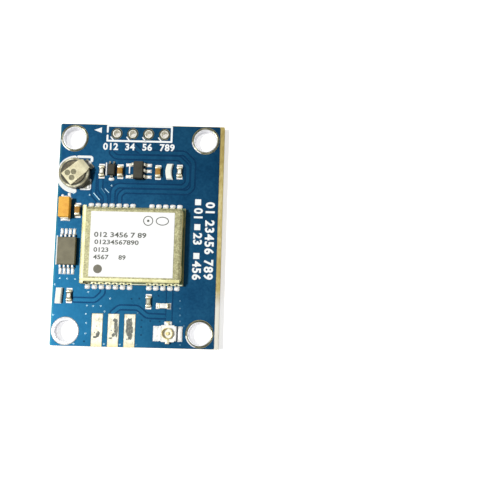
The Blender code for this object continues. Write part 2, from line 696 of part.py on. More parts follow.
def add_receiver_shield():
    """A can folded from thin sheet: open below, bent edges, side windows, open corners."""
    x, y = RECEIVER_CENTRE
    half_x = RECEIVER_WIDTH / 2 - SHIELD_MARGIN
    half_y = RECEIVER_LENGTH / 2 - SHIELD_MARGIN
    base = RECEIVER_FACE_Z + SEAT_GAP
    shield = block("receiver_shield", (x - half_x, y - half_y, base),
                   (x + half_x, y + half_y, base + SHIELD_HEIGHT), PARTS, "nickel_silver")
    bm = bmesh.new()
    bm.from_mesh(shield.data)
    bottom = min(bm.faces, key=lambda face: face.calc_center_median().z)
    bmesh.ops.delete(bm, geom=[bottom], context="FACES_ONLY")
    bm.to_mesh(shield.data)
    bm.free()
    bevel(shield, SHIELD_BEND, 3, 60.0)
    sheet = shield.modifiers.new("sheet", "SOLIDIFY")
    sheet.thickness = SHIELD_SHEET
    sheet.offset = -1.0
    sheet.use_even_offset = True
    cuts = bmesh.new()
    reach = half_x + CUT_MARGIN
    low = base - CUT_MARGIN
    add_box(cuts, (x - reach, y - SHIELD_WINDOW / 2, low),
            (x + reach, y + SHIELD_WINDOW / 2, base + SHIELD_WINDOW_HEIGHT))
    for sx in (-1, 1):
        for sy in (-1, 1):
            add_box(cuts, (x + sx * (half_x - SHIELD_CORNER_RELIEF),
                           y + sy * (half_y - SHIELD_CORNER_RELIEF), low),
                    (x + sx * reach, y + sy * (half_y + CUT_MARGIN),
                     base + SHIELD_HEIGHT - SHIELD_BEND - SHIELD_SHEET))
    cutter = add_object("shield_cuts", mesh_from(cuts, "shield_cuts"), CUTTERS)
    boolean(shield, cutter, "DIFFERENCE")


def add_receiver_label():
    """The paper label on the shield."""
    x, y = RECEIVER_CENTRE
    half_x = RECEIVER_WIDTH / 2 - SHIELD_MARGIN - LABEL_SIDE_MARGIN
    half_y = RECEIVER_LENGTH / 2 - SHIELD_MARGIN - LABEL_END_MARGIN
    low = RECEIVER_FACE_Z + SHIELD_HEIGHT + 2 * SEAT_GAP
    label = block("receiver_label", (x - half_x, y - half_y, low),
                  (x + half_x, y + half_y, low + LABEL_THICKNESS), PARTS, "label_paper")
    bevel(label, LABEL_THICKNESS / 4)


def add_receiver_inside():
    """The radio chip, the oscillator and the aerial filter under the shield."""
    x, y = RECEIVER_CENTRE
    half = Vector((RECEIVER_WIDTH / 2, RECEIVER_LENGTH / 2))
    wall = SHIELD_MARGIN + SHIELD_SHEET + CHIP_SIDE / 2
    chip = Vector((CHIP_SIDE, CHIP_SIDE, CHIP_HEIGHT))
    oscillator = Vector((OSCILLATOR_WIDTH, OSCILLATOR_LENGTH, OSCILLATOR_HEIGHT))
    aerial_filter = Vector((FILTER_WIDTH, FILTER_LENGTH, FILTER_HEIGHT))
    places = {
        "receiver_chip": (Vector((x - half.x + 2 * wall, y)), chip, "moulding"),
        "receiver_oscillator": (Vector((x + half.x / 2, y - half.y / 3)), oscillator,
                                "nickel_silver"),
        "receiver_filter": (Vector((x + half.x / 2, y + half.y / 3)), aerial_filter, "ceramic"),
    }
    for name, (centre, size, finish) in places.items():
        low = (centre.x - size.x / 2, centre.y - size.y / 2, RECEIVER_FACE_Z + SEAT_GAP)
        high = (centre.x + size.x / 2, centre.y + size.y / 2, low[2] + size.z)
        bevel(block(name, low, high, PARTS, finish), 2 * SEAT_GAP)


def add_cell():
    """The backup cell: can, gasket, cap, and the tabs welded above and below it."""
    base = SEAT_Z + TAB_SHEET + SEAT_GAP
    lip = CELL_RADIUS - CELL_LIP
    inner = CELL_RADIUS - CELL_WALL
    corner = CELL_WALL / 2
    can = [(0.0, CELL_WALL), (inner, CELL_WALL), (inner, CELL_HEIGHT - CELL_WALL),
           (lip, CELL_HEIGHT - CELL_WALL / 2), (lip, CELL_HEIGHT),
           (CELL_RADIUS - corner, CELL_HEIGHT), (CELL_RADIUS, CELL_HEIGHT - corner),
           (CELL_RADIUS, corner), (CELL_RADIUS - corner, 0.0), (0.0, 0.0)]
    turned("cell_can", can, CELL_CENTRE, base, CELL_SEGMENTS, PARTS, "steel")
    outer = lip - FIT_GAP
    hole = outer - CELL_GASKET
    floor = CELL_WALL + FIT_GAP
    gasket = [(hole, CELL_HEIGHT - corner), (outer, CELL_HEIGHT - corner), (outer, floor),
              (hole, floor)]
    turned("cell_gasket", gasket, CELL_CENTRE, base, CELL_SEGMENTS, PARTS, "gasket", closed=True)
    cap = hole - FIT_GAP
    top = CELL_HEIGHT + CELL_CAP_RISE
    profile = [(0.0, top), (cap - corner, top), (cap, top - corner), (cap, floor), (0.0, floor)]
    turned("cell_cap", profile, CELL_CENTRE, base, CELL_SEGMENTS, PARTS, "steel")
    x, y = CELL_CENTRE
    foot_z = SEAT_Z + TAB_SHEET / 2
    tab_z = base + top + SEAT_GAP + TAB_SHEET / 2
    shoulder = cap + CELL_GASKET / 2
    clear = CELL_RADIUS + TAB_OVERHANG
    path = [(-TAB_TAIL, tab_z), (shoulder, tab_z),
            (clear - TAB_SHEET / 2, tab_z - CELL_CAP_RISE),
            (clear + TAB_SHEET / 2, foot_z), (clear + TAB_FOOT, foot_z)]
    bent_strip("cell_top_tab", path, TAB_SHEET, TAB_SHEET, TAB_WIDTH,
               placed(x, y, 0, TAB_ANGLE), PARTS, "steel")
    under = block("cell_bottom_tab", (-TAB_TAIL, -TAB_WIDTH / 2, SEAT_Z),
                  (clear + TAB_FOOT, TAB_WIDTH / 2, SEAT_Z + TAB_SHEET), PARTS, "steel")
    under.matrix_world = placed(x, y, 0, -TAB_ANGLE)
    bevel(under, 2 * SEAT_GAP)


def add_tantalum():
    """The moulded tantalum capacitor and its two folded straps."""
    x, y = TANTALUM_CENTRE
    half = TANTALUM_SIZE / 2
    base = SEAT_Z + TANTALUM_SHEET + SEAT_GAP
    body = block("tantalum_body", (x - half.x, y - half.y, base),
                 (x + half.x, y + half.y, base + TANTALUM_SIZE.z), PARTS, "tantalum")
    bevel(body, TANTALUM_SHEET, 2)
    middle = base + half.z
    out = half.y + SEAT_GAP + TANTALUM_SHEET / 2
    foot = SEAT_Z + TANTALUM_SHEET / 2
    for index, side in enumerate((1, -1)):
        path = [(out, middle), (out, foot), (half.y - TANTALUM_TUCK, foot)]
        bent_strip(f"tantalum_terminal_{index + 1}", path, TANTALUM_SHEET, TANTALUM_SHEET,
                   TANTALUM_STRAP, placed(x, y, 0, 90 * side), PARTS, "tin")


def moulded_body(name, centre, size):
    """A moulded package whose sides lean in above and below the line of its leads."""
    bm = bmesh.new()
    bmesh.ops.create_cube(bm, size=1.0)
    bmesh.ops.bisect_plane(bm, geom=[*bm.verts, *bm.edges, *bm.faces], plane_co=(0, 0, 0),
                           plane_no=(0, 0, 1))
    bmesh.ops.scale(bm, vec=size, verts=bm.verts)
    for vert in bm.verts:
        if abs(vert.co.z) > size.z / 4:
            vert.co.x -= math.copysign(MOULD_DRAFT, vert.co.x)
            vert.co.y -= math.copysign(MOULD_DRAFT, vert.co.y)
    body = add_object(name, mesh_from(bm, name), PARTS, "moulding")
    body.location = (centre.x, centre.y, SEAT_Z + MOULD_STANDOFF + size.z / 2)
    bevel(body, MOULD_EDGE, 1, 50.0)
    return body


def add_leads(name, centre, size, pitch, rows, width, reach, foot, along):
    """Gull-wing leads, from the middle of a moulded body's side down to the lands."""
    middle = SEAT_Z + MOULD_STANDOFF + size.z / 2
    ground = SEAT_Z + LEAD_SHEET / 2
    shoulder = reach - foot
    path = [(SEAT_GAP, middle), (shoulder - LEAD_SHEET, middle), (shoulder, ground),
            (reach, ground)]
    for index, (offset, degrees) in enumerate(lead_rows(size, pitch, rows, along)):
        place = placed(centre.x + offset.x, centre.y + offset.y, 0, degrees)
        bent_strip(f"{name}_{index + 1}", path, LEAD_BEND, LEAD_SHEET, width, place, PARTS,
                   "tin")


def add_memory():
    """The eight-lead memory chip, with its pin-one dimple."""
    body = moulded_body("memory_body", MEMORY_CENTRE, MEMORY_SIZE)
    top = SEAT_Z + MOULD_STANDOFF + MEMORY_SIZE.z
    corner = (MEMORY_CENTRE.x - MEMORY_WIDTH / 2 + DIMPLE_INSET,
              MEMORY_CENTRE.y - MEMORY_LENGTH / 2 + DIMPLE_INSET)
    dimple = rod("pin_one_dimple", corner, DIMPLE_RADIUS, top - DIMPLE_DEPTH,
                 top + CUT_MARGIN, CUTTERS, DIMPLE_SEGMENTS)
    boolean(body, dimple, "DIFFERENCE")
    add_leads("memory_lead", MEMORY_CENTRE, MEMORY_SIZE, MEMORY_PITCH, MEMORY_ROWS,
              MEMORY_LEAD_WIDTH, MEMORY_LEAD_REACH, MEMORY_FOOT, "x")


def add_small_packages():
    """The five-lead voltage regulator and the three-lead transistor."""
    moulded_body("regulator_body", REGULATOR_CENTRE, REGULATOR_SIZE)
    add_leads("regulator_lead", REGULATOR_CENTRE, REGULATOR_SIZE, REGULATOR_PITCH,
              REGULATOR_ROWS, REGULATOR_LEAD_WIDTH, REGULATOR_LEAD_REACH, REGULATOR_FOOT, "y")
    moulded_body("transistor_body", TRANSISTOR_CENTRE, TRANSISTOR_SIZE)
    add_leads("transistor_lead", TRANSISTOR_CENTRE, TRANSISTOR_SIZE, TRANSISTOR_PITCH,
              TRANSISTOR_ROWS, TRANSISTOR_LEAD_WIDTH, TRANSISTOR_LEAD_REACH, TRANSISTOR_FOOT,
              "x")


def add_socket():
    """The coaxial aerial socket: plastic base, ring with three feet, pin with a terminal."""
    x, y = SOCKET_CENTRE
    half = SOCKET_SIDE / 2
    low = SEAT_Z + SOCKET_SHEET + SEAT_GAP
    base_top = low + SOCKET_BASE_HEIGHT
    corner = SOCKET_CHAMFER
    outline = []
    for sx, sy in ((1, 1), (-1, 1), (-1, -1), (1, -1)):
        ends = [(x + sx * half, y + sy * (half - corner)),
                (x + sx * (half - corner), y + sy * half)]
        outline += ends if sx * sy > 0 else ends[::-1]
    base = outline_solid("socket_base", outline, low, base_top, PARTS, "socket_plastic")
    bore = rod("socket_bore", (x, y), SOCKET_PIN_RADIUS + FIT_GAP, low - CUT_MARGIN,
               base_top + CUT_MARGIN, CUTTERS, SOCKET_PIN_SEGMENTS)
    boolean(base, bore, "DIFFERENCE")
    ring_low = base_top + SEAT_GAP
    ring_top = SEAT_Z + SOCKET_HEIGHT
    inner = SOCKET_RING_RADIUS - SOCKET_RING_WALL
    edge = SOCKET_RING_WALL / 4
    profile = [(inner + edge, ring_top), (SOCKET_RING_RADIUS - edge, ring_top),
               (SOCKET_RING_RADIUS, ring_top - edge), (SOCKET_RING_RADIUS, ring_low),
               (inner, ring_low), (inner, ring_top - edge)]
    shell = turned("socket_shell", profile, (x, y), 0.0, SOCKET_SEGMENTS, PARTS,
                   "gold", closed=True)
    out = half + SEAT_GAP + SOCKET_SHEET / 2
    foot = SEAT_Z + SOCKET_SHEET / 2
    over = ring_low + SOCKET_SHEET / 2 + SEAT_GAP
    path = [(SOCKET_RING_RADIUS - SOCKET_RING_WALL / 2, over), (out, over), (out, foot),
            (out + SOCKET_FOOT, foot)]
    for degrees, width in ((0, SOCKET_TAB_WIDTH), (180, SOCKET_TAB_WIDTH),
                           (270, SOCKET_TERMINAL_WIDTH)):
        strip = bent_strip(f"socket_foot_{degrees}", path, SOCKET_SHEET, SOCKET_SHEET, width,
                           placed(x, y, 0, degrees), CUTTERS)
        boolean(shell, strip, "UNION")
    pin = rod("socket_pin", (x, y), SOCKET_PIN_RADIUS, SEAT_Z, SEAT_Z + SOCKET_PIN_HEIGHT,
              PARTS, SOCKET_PIN_SEGMENTS, "gold")
    terminal = block("pin_terminal", (x - SOCKET_TERMINAL_WIDTH / 2, y, SEAT_Z),
                     (x + SOCKET_TERMINAL_WIDTH / 2, y + half + SOCKET_FOOT,
                      SEAT_Z + SOCKET_SHEET), CUTTERS)
    boolean(pin, terminal, "UNION")


def prism(name, outline, width, collection):
    """A side outline of (distance, height) pairs given width across Y."""
    bm = bmesh.new()
    face = bm.faces.new([bm.verts.new((s, -width / 2, z)) for s, z in outline])
    grown = bmesh.ops.extrude_face_region(bm, geom=[face])["geom"]
    moved = [item for item in grown if isinstance(item, bmesh.types.BMVert)]
    bmesh.ops.translate(bm, vec=(0, width, 0), verts=moved)
    bmesh.ops.recalc_face_normals(bm, faces=bm.faces)
    return add_object(name, mesh_from(bm, name), collection)


def add_ends(body, place, size):
    """Joins two wrapped terminals, each with its solder fillet, to a chip part's body."""
    half = size.x / 2
    outline = [(half - CHIP_TERMINAL, 0.0), (half + CHIP_FILLET, 0.0),
               (half + CHIP_FILLET, CHIP_SKIN), (half + CHIP_FILLET / 3, size.z * 0.3),
               (half, size.z * 0.7), (half, size.z), (half - CHIP_TERMINAL, size.z)]
    for end in (-1, 1):
        sides = [(end * s, z) for s, z in outline]
        ends = prism(f"{body.name}_end_{end}", sides, size.y, CUTTERS)
        ends.matrix_world = place
        bevel(ends, CHIP_EDGE, 1, 60.0)
        boolean(body, ends, "UNION")


def add_chip(name, centre, size, degrees, finish):
    """A chip part: a body between two wrapped terminals."""
    half = size.x / 2 - CHIP_TERMINAL / 2
    across = size.y / 2 - CHIP_SKIN
    place = placed(centre[0], centre[1], SEAT_Z, degrees)
    body = block(name, (-half, -across, CHIP_SKIN), (half, across, size.z - CHIP_SKIN), PARTS,
                 finish)
    body.matrix_world = place
    add_ends(body, place, size)


def add_lamp(name, centre, size, degrees, finish):
    """A lamp: a thin base with low terminals, under a block of resin whose ends lean in."""
    add_chip(name, centre, Vector((size.x, size.y, LAMP_BASE)), degrees, finish)
    low = LAMP_BASE - 2 * CHIP_SKIN
    foot = LAMP_RESIN / 2
    outline = [(-foot, low), (foot, low), (foot - LAMP_DRAFT, size.z),
               (LAMP_DRAFT - foot, size.z)]
    resin = prism(f"{name}_resin", outline, size.y - 2 * CHIP_SKIN, CUTTERS)
    resin.matrix_world = placed(centre[0], centre[1], SEAT_Z, degrees)
    bevel(resin, 2 * CHIP_EDGE, 2)
    boolean(PARTS.objects[name], resin, "UNION")


def shade_round_parts():
    """Smooth shading with sharp creases on every part."""
    for obj in PARTS.objects:
        if obj.data.polygons:
            obj.data.shade_smooth()
            obj.data.set_sharp_from_angle(angle=math.radians(30))


for old in list(bpy.data.objects):
    bpy.data.objects.remove(old, do_unlink=True)
PARTS = new_collection(NAME)
CUTTERS = new_collection("cutters")

add_circuit_board()
add_plated_holes()
add_edge_pads()
add_receiver_board()
add_receiver_shield()
add_receiver_label()
add_receiver_inside()
add_cell()
add_tantalum()
add_memory()
add_small_packages()
add_socket()
for chip, (chip_centre, chip_size, chip_degrees, chip_finish) in CHIPS.items():
    build = add_lamp if chip_size is LAMP else add_chip
    build(chip, chip_centre, chip_size, chip_degrees, chip_finish)
shade_round_parts()
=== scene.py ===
"""Looks of a satellite positioning module: a shielded receiver on a blue carrier board.

Lengths are in millimetres in the board's own frame: X to the right, Y towards the header
holes, Z up from the floor.
"""

import math

import bmesh
import bpy
from mathutils import Matrix, Vector


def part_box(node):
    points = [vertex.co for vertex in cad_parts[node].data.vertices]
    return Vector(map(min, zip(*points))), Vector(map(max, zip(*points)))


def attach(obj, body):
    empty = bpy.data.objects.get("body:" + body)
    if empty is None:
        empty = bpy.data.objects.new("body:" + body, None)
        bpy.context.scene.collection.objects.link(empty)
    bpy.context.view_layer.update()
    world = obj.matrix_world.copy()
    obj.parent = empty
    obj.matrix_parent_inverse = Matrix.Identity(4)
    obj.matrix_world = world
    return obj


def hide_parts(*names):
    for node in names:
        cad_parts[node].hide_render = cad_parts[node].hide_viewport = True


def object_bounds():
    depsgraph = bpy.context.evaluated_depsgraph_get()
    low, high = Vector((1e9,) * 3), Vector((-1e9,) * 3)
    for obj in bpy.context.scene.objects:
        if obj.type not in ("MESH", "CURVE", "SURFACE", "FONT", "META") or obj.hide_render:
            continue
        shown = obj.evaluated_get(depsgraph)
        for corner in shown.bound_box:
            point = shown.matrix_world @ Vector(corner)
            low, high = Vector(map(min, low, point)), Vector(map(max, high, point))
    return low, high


MM = 0.001

# Layers of the carrier board, as heights
CORE_LOW = 0.035
CORE_HIGH = 1.535
POUR_LOW = 1.585
MASK_TOP = 1.615
LAND_TOP = 1.645
INK_TOP = 1.632
INK_STEP = 0.0015
POUR_ROOT = POUR_LOW - 0.005
INK_ROOT = MASK_TOP - 0.005
SINK = 0.02

# Cutters, through the copper and through the board
COPPER_CUT = (1.5, 2.0)
THROUGH_CUT = (-1.0, 3.0)

# Board corners, and the bare laminate beyond the mask; the wide strip at the right is partly cut
# edge and partly painted shadow, golden where the board's shadow falls on the floor
BOARD_CORNER = 0.25
RIGHT_MARGIN_AND_SHADOW = 0.68
MARGIN_TOP = 0.07
MARGIN_OVERLAP = 0.2
MARGIN_INSET = 0.01
MARGIN_EDGE = 0.04
FRONT_FACING = -0.9

# Fades of a finish: where one starts and ends, its tone, and the most that it takes over
PALE_MARGIN = (-8.4, -11.2, (0.86, 0.85, 0.76))
# Painted light: the shield's shaded right wall fades into a warm golden tone
PAINTED_WALL_LIGHT = (7.34, 7.41, (0.98, 0.8, 0.3))
GILDED_PADS = (-16.9, -17.6, (0.7, 0.6, 0.28))
# Painted highlight: the mask lighter along the board's left edge, on the key's side
PAINTED_EDGE_HIGHLIGHT = (-12.4, -12.7, (0.022, 0.125, 0.155), 0.8)
# Painted sheen: mask and tracks lighter round the board's lower-left corner, where the key's
# reflection falls
PAINTED_CORNER_SHEEN = (23.0, 13.0, (0.01, 0.088, 0.162), 0.5)
SHEEN_CENTRE = (-12.75, -17.65, 1.6)

# Copper under the mask
TRACK_HALF = 0.25
CHANNEL_HALF = 0.5
CORNER_RADIUS = 0.4
CLEARANCE = 0.05
FEED_HALF = 0.42
FEED_CHANNEL_HALF = 0.58
VIA_PROFILE = [(0.05, -0.02), (0.14, -0.02), (0.126, 0.018), (0.065, 0.02)]
HIGHLIGHT_RISE = 0.01

# Plated holes
HOLE_SEGMENTS = 48
MOUNT_BORE = 1.7
MOUNT_BARREL = 1.85
MOUNT_RIM = 1.86
MOUNT_OPENING = 2.2
HEADER_BORE = 0.52
HEADER_RIM = 0.64
HEADER_BARREL = 0.67
HEADER_OPENING = 0.9
LINING = 0.02
RIM_RISE = 0.01
LIP_RISE = 0.015

# Raised ring round each mounting hole, and the painted glint on it
RING_PROFILE = [
    (1.84, -0.02), (2.14, -0.02), (2.11, 0.025), (2.03, 0.06), (1.94, 0.06), (1.86, 0.03)]
GLINT_ARC = (2.12, 190, 250)
GLINT_HALF = 0.075
GLINT_RISE = 0.04

# Receiver contacts
CONTACT_RADIUS = 0.3
CONTACT_WALL = 0.11
WALL_RISE = 0.02
PAD_HALF = 0.38
PAD_DEPTH = 0.52
PAD_RISE = 0.025
CONTACT_REACH = {-1: 0.75, 1: 0.72}
MOUND_HALF = 0.45
MOUND_RISE = 0.24
CONTACT_COLUMNS = ([-7.28 + 1.1 * step for step in range(7)]
                   + [2.32 + 1.1 * step for step in range(5)])
RIM_WIDTH = 0.12

# Chip parts
CHIP_LENGTH = 1.6
CHIP_TERMINAL = 0.32
CHIP_FILLET = 0.28
CHIP_EDGE = 0.05

# Backup cell
CELL_TOP_TURN = 41.0
CELL_BOTTOM_TURN = -43.0
TAB_SHEET = 0.13
TAB_TAPER = 0.28
TAPER_FROM = 1.4
# From here outward the upper tab is painted shade
TAB_SHADE_FROM = 2.45

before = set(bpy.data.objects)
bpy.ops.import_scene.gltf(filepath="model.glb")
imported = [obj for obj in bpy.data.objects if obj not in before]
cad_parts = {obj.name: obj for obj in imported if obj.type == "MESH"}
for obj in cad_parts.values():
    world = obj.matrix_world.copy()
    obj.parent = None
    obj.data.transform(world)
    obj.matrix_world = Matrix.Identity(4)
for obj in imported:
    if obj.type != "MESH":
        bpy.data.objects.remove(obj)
cad_low, cad_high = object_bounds()


def corners(node):
    """Lowest and highest corner of a CAD node."""
    low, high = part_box(node)
    return low / MM, high / MM


def middle(node):
    """Centre of a CAD node."""
    low, high = corners(node)
    return (low + high) / 2


# Materials

def tone_stops(ramp, tones):
    """Spreads tones evenly over the middle of a noise's range."""
    low, high = 0.36, 0.64
    stops = ramp.color_ramp.elements
    while len(stops) < len(tones):
        stops.new(0.5)
    for index, (stop, tone) in enumerate(zip(stops, tones)):
        stop.position = low + (high - low) * index / (len(tones) - 1)
        stop.color = (*tone, 1.0)


def feed(tree, node, inputs):
    """Sets a node's inputs to values, or links them to other nodes' outputs."""
    for key, value in inputs.items():
        if isinstance(value, bpy.types.NodeSocket):
            tree.links.new(value, node.inputs[key])
        else:
            node.inputs[key].default_value = value


def add_node(tree, kind, inputs):
    """A new shader node with its inputs."""
    node = tree.nodes.new(f"ShaderNode{kind}")
    feed(tree, node, inputs)
    return node


def noise_of(tree, grain, stretch, detail):
    """A noise in object space whose features are about grain millimetres across."""
    where = add_node(tree, "TexCoord", {}).outputs["Object"]
    scale = [1 / (grain * MM * axis) for axis in stretch]
    scaled = add_node(tree, "Mapping", {"Vector": where, "Scale": scale}).outputs["Vector"]
    noise = add_node(tree, "TexNoise", {"Vector": scaled, "Scale": 1.0, "Detail": detail})
    return noise.outputs["Fac"]


def mottled(name, tones, grain, speck, roughness, metal=0.0, relief=0.01, spread=0.08,
            share=0.4, stretch=(1, 1, 1), specular=0.5, coat=0.0):
    """A finish with a broad and fine wander of tone, and gloss and relief to match."""
    material = bpy.data.materials.new(name)
    material.use_nodes = True
    tree = material.node_tree
    broad = noise_of(tree, grain, stretch, 4.0)
    fine = noise_of(tree, speck, stretch, 6.0)
    both = add_node(tree, "Mix", {"Factor": share, "A": broad, "B": fine})
    ramp = add_node(tree, "ValToRGB", {"Fac": both.outputs["Result"]})
    tone_stops(ramp, tones)
    gloss = add_node(tree, "MapRange", {
        "Value": fine, "To Min": roughness - spread, "To Max": roughness + spread})
    bump = add_node(tree, "Bump", {"Height": fine, "Distance": relief * MM})
    feed(tree, tree.nodes["Principled BSDF"], {
        "Base Color": ramp.outputs["Color"], "Roughness": gloss.outputs["Result"],
        "Normal": bump.outputs["Normal"], "Metallic": metal,
        "Specular IOR Level": specular, "Coat Weight": coat})
    return material


def fading(material, start, end, tone, most=0.85, axis="Y", centre=None):
    """Lets a finish fade into a tone along an axis, or with the way from a centre."""
    tree = material.node_tree
    where = add_node(tree, "TexCoord", {}).outputs["Object"]
    if centre:
        reach = add_node(tree, "VectorMath", {0: where, 1: Vector(centre) * MM})
        reach.operation = "DISTANCE"
        along = reach.outputs["Value"]
    else:
        along = add_node(tree, "SeparateXYZ", {"Vector": where}).outputs[axis]
    share = add_node(tree, "MapRange", {
        "Value": along, "From Min": start * MM, "From Max": end * MM, "To Max": most})
    mix = add_node(tree, "Mix", {})
    mix.data_type = "RGBA"
    base = tree.nodes["Principled BSDF"].inputs["Base Color"]
    first, second = (socket for socket in mix.inputs if socket.type == "RGBA")
    second.default_value = (*tone, 1.0)
    feed(tree, mix, {"Factor": share.outputs["Result"]})
    tree.links.new(base.links[0].from_socket, first)
    tree.links.new(next(socket for socket in mix.outputs if socket.type == "RGBA"), base)


MASK = mottled(
    "mask_over_copper", [(0.004, 0.04, 0.098), (0.0065, 0.054, 0.123), (0.0105, 0.071, 0.148)],
    5.0, 0.35, 0.34, metal=0.92, relief=0.003, spread=0.03, specular=0.15)
TRACK_MASK = mottled(
    "mask_over_track", [(0.0055, 0.054, 0.122), (0.0105, 0.072, 0.15)],
    3.0, 0.35, 0.34, metal=0.92, relief=0.003, spread=0.03, specular=0.15)
# Mask and tracks take the painted sheen near the lower-left corner
for finish in (MASK, TRACK_MASK):
    fading(finish, *PAINTED_CORNER_SHEEN, centre=SHEEN_CENTRE)
# Painted highlight along the board's left edge
fading(MASK, *PAINTED_EDGE_HIGHLIGHT, axis="X")
BARE_MASK = mottled(
    "mask_over_laminate", [(0.0026, 0.025, 0.068), (0.0048, 0.036, 0.09)],
    2.0, 0.3, 0.39, metal=0.88, relief=0.003, specular=0.15)
LAMINATE = mottled(
    "glass_laminate", [(0.4, 0.34, 0.13), (0.5, 0.43, 0.18), (0.58, 0.52, 0.25)],
    0.9, 0.1, 0.55, relief=0.012, stretch=(2.5, 2.5, 0.5))
# Golden laminate of the margin: partly the cut edge, partly painted shadow on the floor beside the
# board; paler towards the bottom
LAMINATE_MARGIN_AND_SHADOW = mottled(
    "laminate_margin_and_painted_shadow", [(0.34, 0.25, 0.06), (0.5, 0.4, 0.13), (0.7, 0.61, 0.3)],
    1.6, 0.12, 0.6, relief=0.02, stretch=(2, 6, 0.35))
fading(LAMINATE_MARGIN_AND_SHADOW, *PALE_MARGIN)
RECEIVER_LAMINATE = mottled(
    "receiver_laminate", [(0.05, 0.09, 0.03), (0.14, 0.19, 0.07)],
    1.2, 0.15, 0.5, stretch=(3, 3, 0.5))
TIN = mottled(
    "tin", [(0.52, 0.48, 0.33), (0.78, 0.76, 0.62), (0.88, 0.87, 0.76)],
    0.6, 0.09, 0.36, metal=0.2, relief=0.012)
PAD_TIN = mottled(
    "pad_tin", [(0.5, 0.46, 0.31), (0.72, 0.7, 0.55), (0.82, 0.8, 0.68)],
    0.6, 0.09, 0.36, metal=0.2, relief=0.012)
fading(PAD_TIN, *GILDED_PADS)
SOLDER = mottled(
    "solder", [(0.8, 0.8, 0.74), (0.96, 0.96, 0.94), (1.0, 1.0, 0.99)],
    0.5, 0.08, 0.3, metal=0.1, relief=0.003)
TERMINAL_TIN = mottled(
    "terminal_tin", [(0.58, 0.5, 0.28), (0.84, 0.78, 0.54), (0.95, 0.92, 0.76)],
    0.4, 0.07, 0.32, metal=0.3, relief=0.006)
BARREL_TIN = mottled(
    "barrel_tin", [(0.7, 0.65, 0.48), (0.97, 0.96, 0.88)],
    0.6, 0.1, 0.35, metal=0.2, relief=0.008)
JOINT_TIN = mottled(
    "joint_tin", [(0.09, 0.07, 0.03), (0.26, 0.22, 0.11), (0.6, 0.56, 0.38)],
    0.4, 0.07, 0.35, metal=0.5)
HOLE_TIN = mottled(
    "hole_tin", [(0.07, 0.07, 0.045), (0.15, 0.15, 0.095), (0.4, 0.39, 0.28)],
    1.3, 0.14, 0.3, metal=0.8, relief=0.012)
HEADER_TIN = mottled(
    "header_tin", [(0.016, 0.02, 0.015), (0.045, 0.052, 0.036), (0.12, 0.125, 0.085)],
    0.9, 0.1, 0.35, metal=0.6)
# Near-white tin: painted highlight on the mounting holes' linings, rings and glints
HIGHLIGHT_TIN = mottled(
    "tin_painted_highlight", [(0.78, 0.78, 0.82), (0.93, 0.93, 0.95)],
    1.2, 0.12, 0.3, metal=0.2, relief=0.006)
GOLD = mottled(
    "gold", [(0.46, 0.36, 0.1), (0.74, 0.62, 0.26), (0.9, 0.82, 0.5)],
    0.5, 0.06, 0.32, metal=0.5, relief=0.006)
CONTACT_GOLD = mottled(
    "contact_gold", [(0.42, 0.38, 0.14), (0.76, 0.73, 0.42), (0.94, 0.93, 0.72)],
    0.35, 0.06, 0.35, metal=0.4, relief=0.006)
NICKEL_SILVER = mottled(
    "nickel_silver", [(0.21, 0.195, 0.09), (0.37, 0.355, 0.18), (0.56, 0.54, 0.3)],
    1.1, 0.22, 0.45, metal=0.3, relief=0.008, share=0.7)
# The shield's right wall takes the painted warm light
fading(NICKEL_SILVER, *PAINTED_WALL_LIGHT, axis="X")
# A lighter copy of the shield's silver: painted highlight on the bends
BEND_SILVER_HIGHLIGHT = mottled(
    "bend_silver_painted_highlight", [(0.64, 0.58, 0.23), (0.84, 0.81, 0.43), (0.93, 0.93, 0.58)],
    2.2, 0.25, 0.4, metal=0.1, relief=0.006)
STEEL = mottled(
    "steel", [(0.45, 0.4, 0.24), (0.67, 0.62, 0.4), (0.81, 0.76, 0.54)],
    1.2, 0.08, 0.45, metal=0.25, relief=0.006, share=0.55)
# A darker copy of the tab steel: painted shade on the cell tabs' bent legs; the transistor's leads
# use it too
DARK_STEEL = mottled(
    "dark_steel", [(0.07, 0.07, 0.055), (0.16, 0.16, 0.13), (0.36, 0.36, 0.3)],
    0.8, 0.1, 0.38, metal=0.5, relief=0.006)
# Painted dark reflections: the cell's can and cap steel darkened, the can with light patches
CAN_STEEL_DARK_REFLECTION = mottled(
    "can_steel_painted_dark_reflection", [(0.09, 0.08, 0.05), (0.22, 0.205, 0.13), (0.62, 0.6, 0.46)],
    1.1, 0.1, 0.36, metal=0.6, relief=0.006)
CAP_STEEL_DARK_REFLECTION = mottled(
    "cap_steel_painted_dark_reflection", [(0.05, 0.042, 0.023), (0.1, 0.086, 0.05), (0.21, 0.185, 0.11)],
    0.9, 0.12, 0.4, metal=0.5, relief=0.006)
GASKET = mottled("gasket", [(0.03, 0.03, 0.018), (0.09, 0.085, 0.05)], 0.6, 0.08, 0.5)
LABEL = mottled(
    "label_paper", [(0.93, 0.93, 0.92), (0.98, 0.98, 0.97)], 2.5, 0.08, 0.62, relief=0.004)
PRINT = mottled("label_print", [(0.04, 0.045, 0.035), (0.17, 0.18, 0.15)], 0.3, 0.06, 0.6)
DARK_PRINT = mottled("pin_one_print", [(0.12, 0.11, 0.07), (0.17, 0.16, 0.11)], 0.4, 0.06, 0.5)
INK = mottled("board_ink", [(0.84, 0.87, 0.86), (0.94, 0.96, 0.95)], 0.6, 0.07, 0.55)
VIA = mottled("via_ring", [(0.22, 0.46, 0.6), (0.6, 0.8, 0.86)], 0.4, 0.08, 0.4, metal=0.2)
TANTALUM = mottled(
    "tantalum_resin", [(0.78, 0.34, 0.035), (0.9, 0.47, 0.06), (0.94, 0.56, 0.07)],
    1.3, 0.1, 0.5, relief=0.012, specular=0.25)
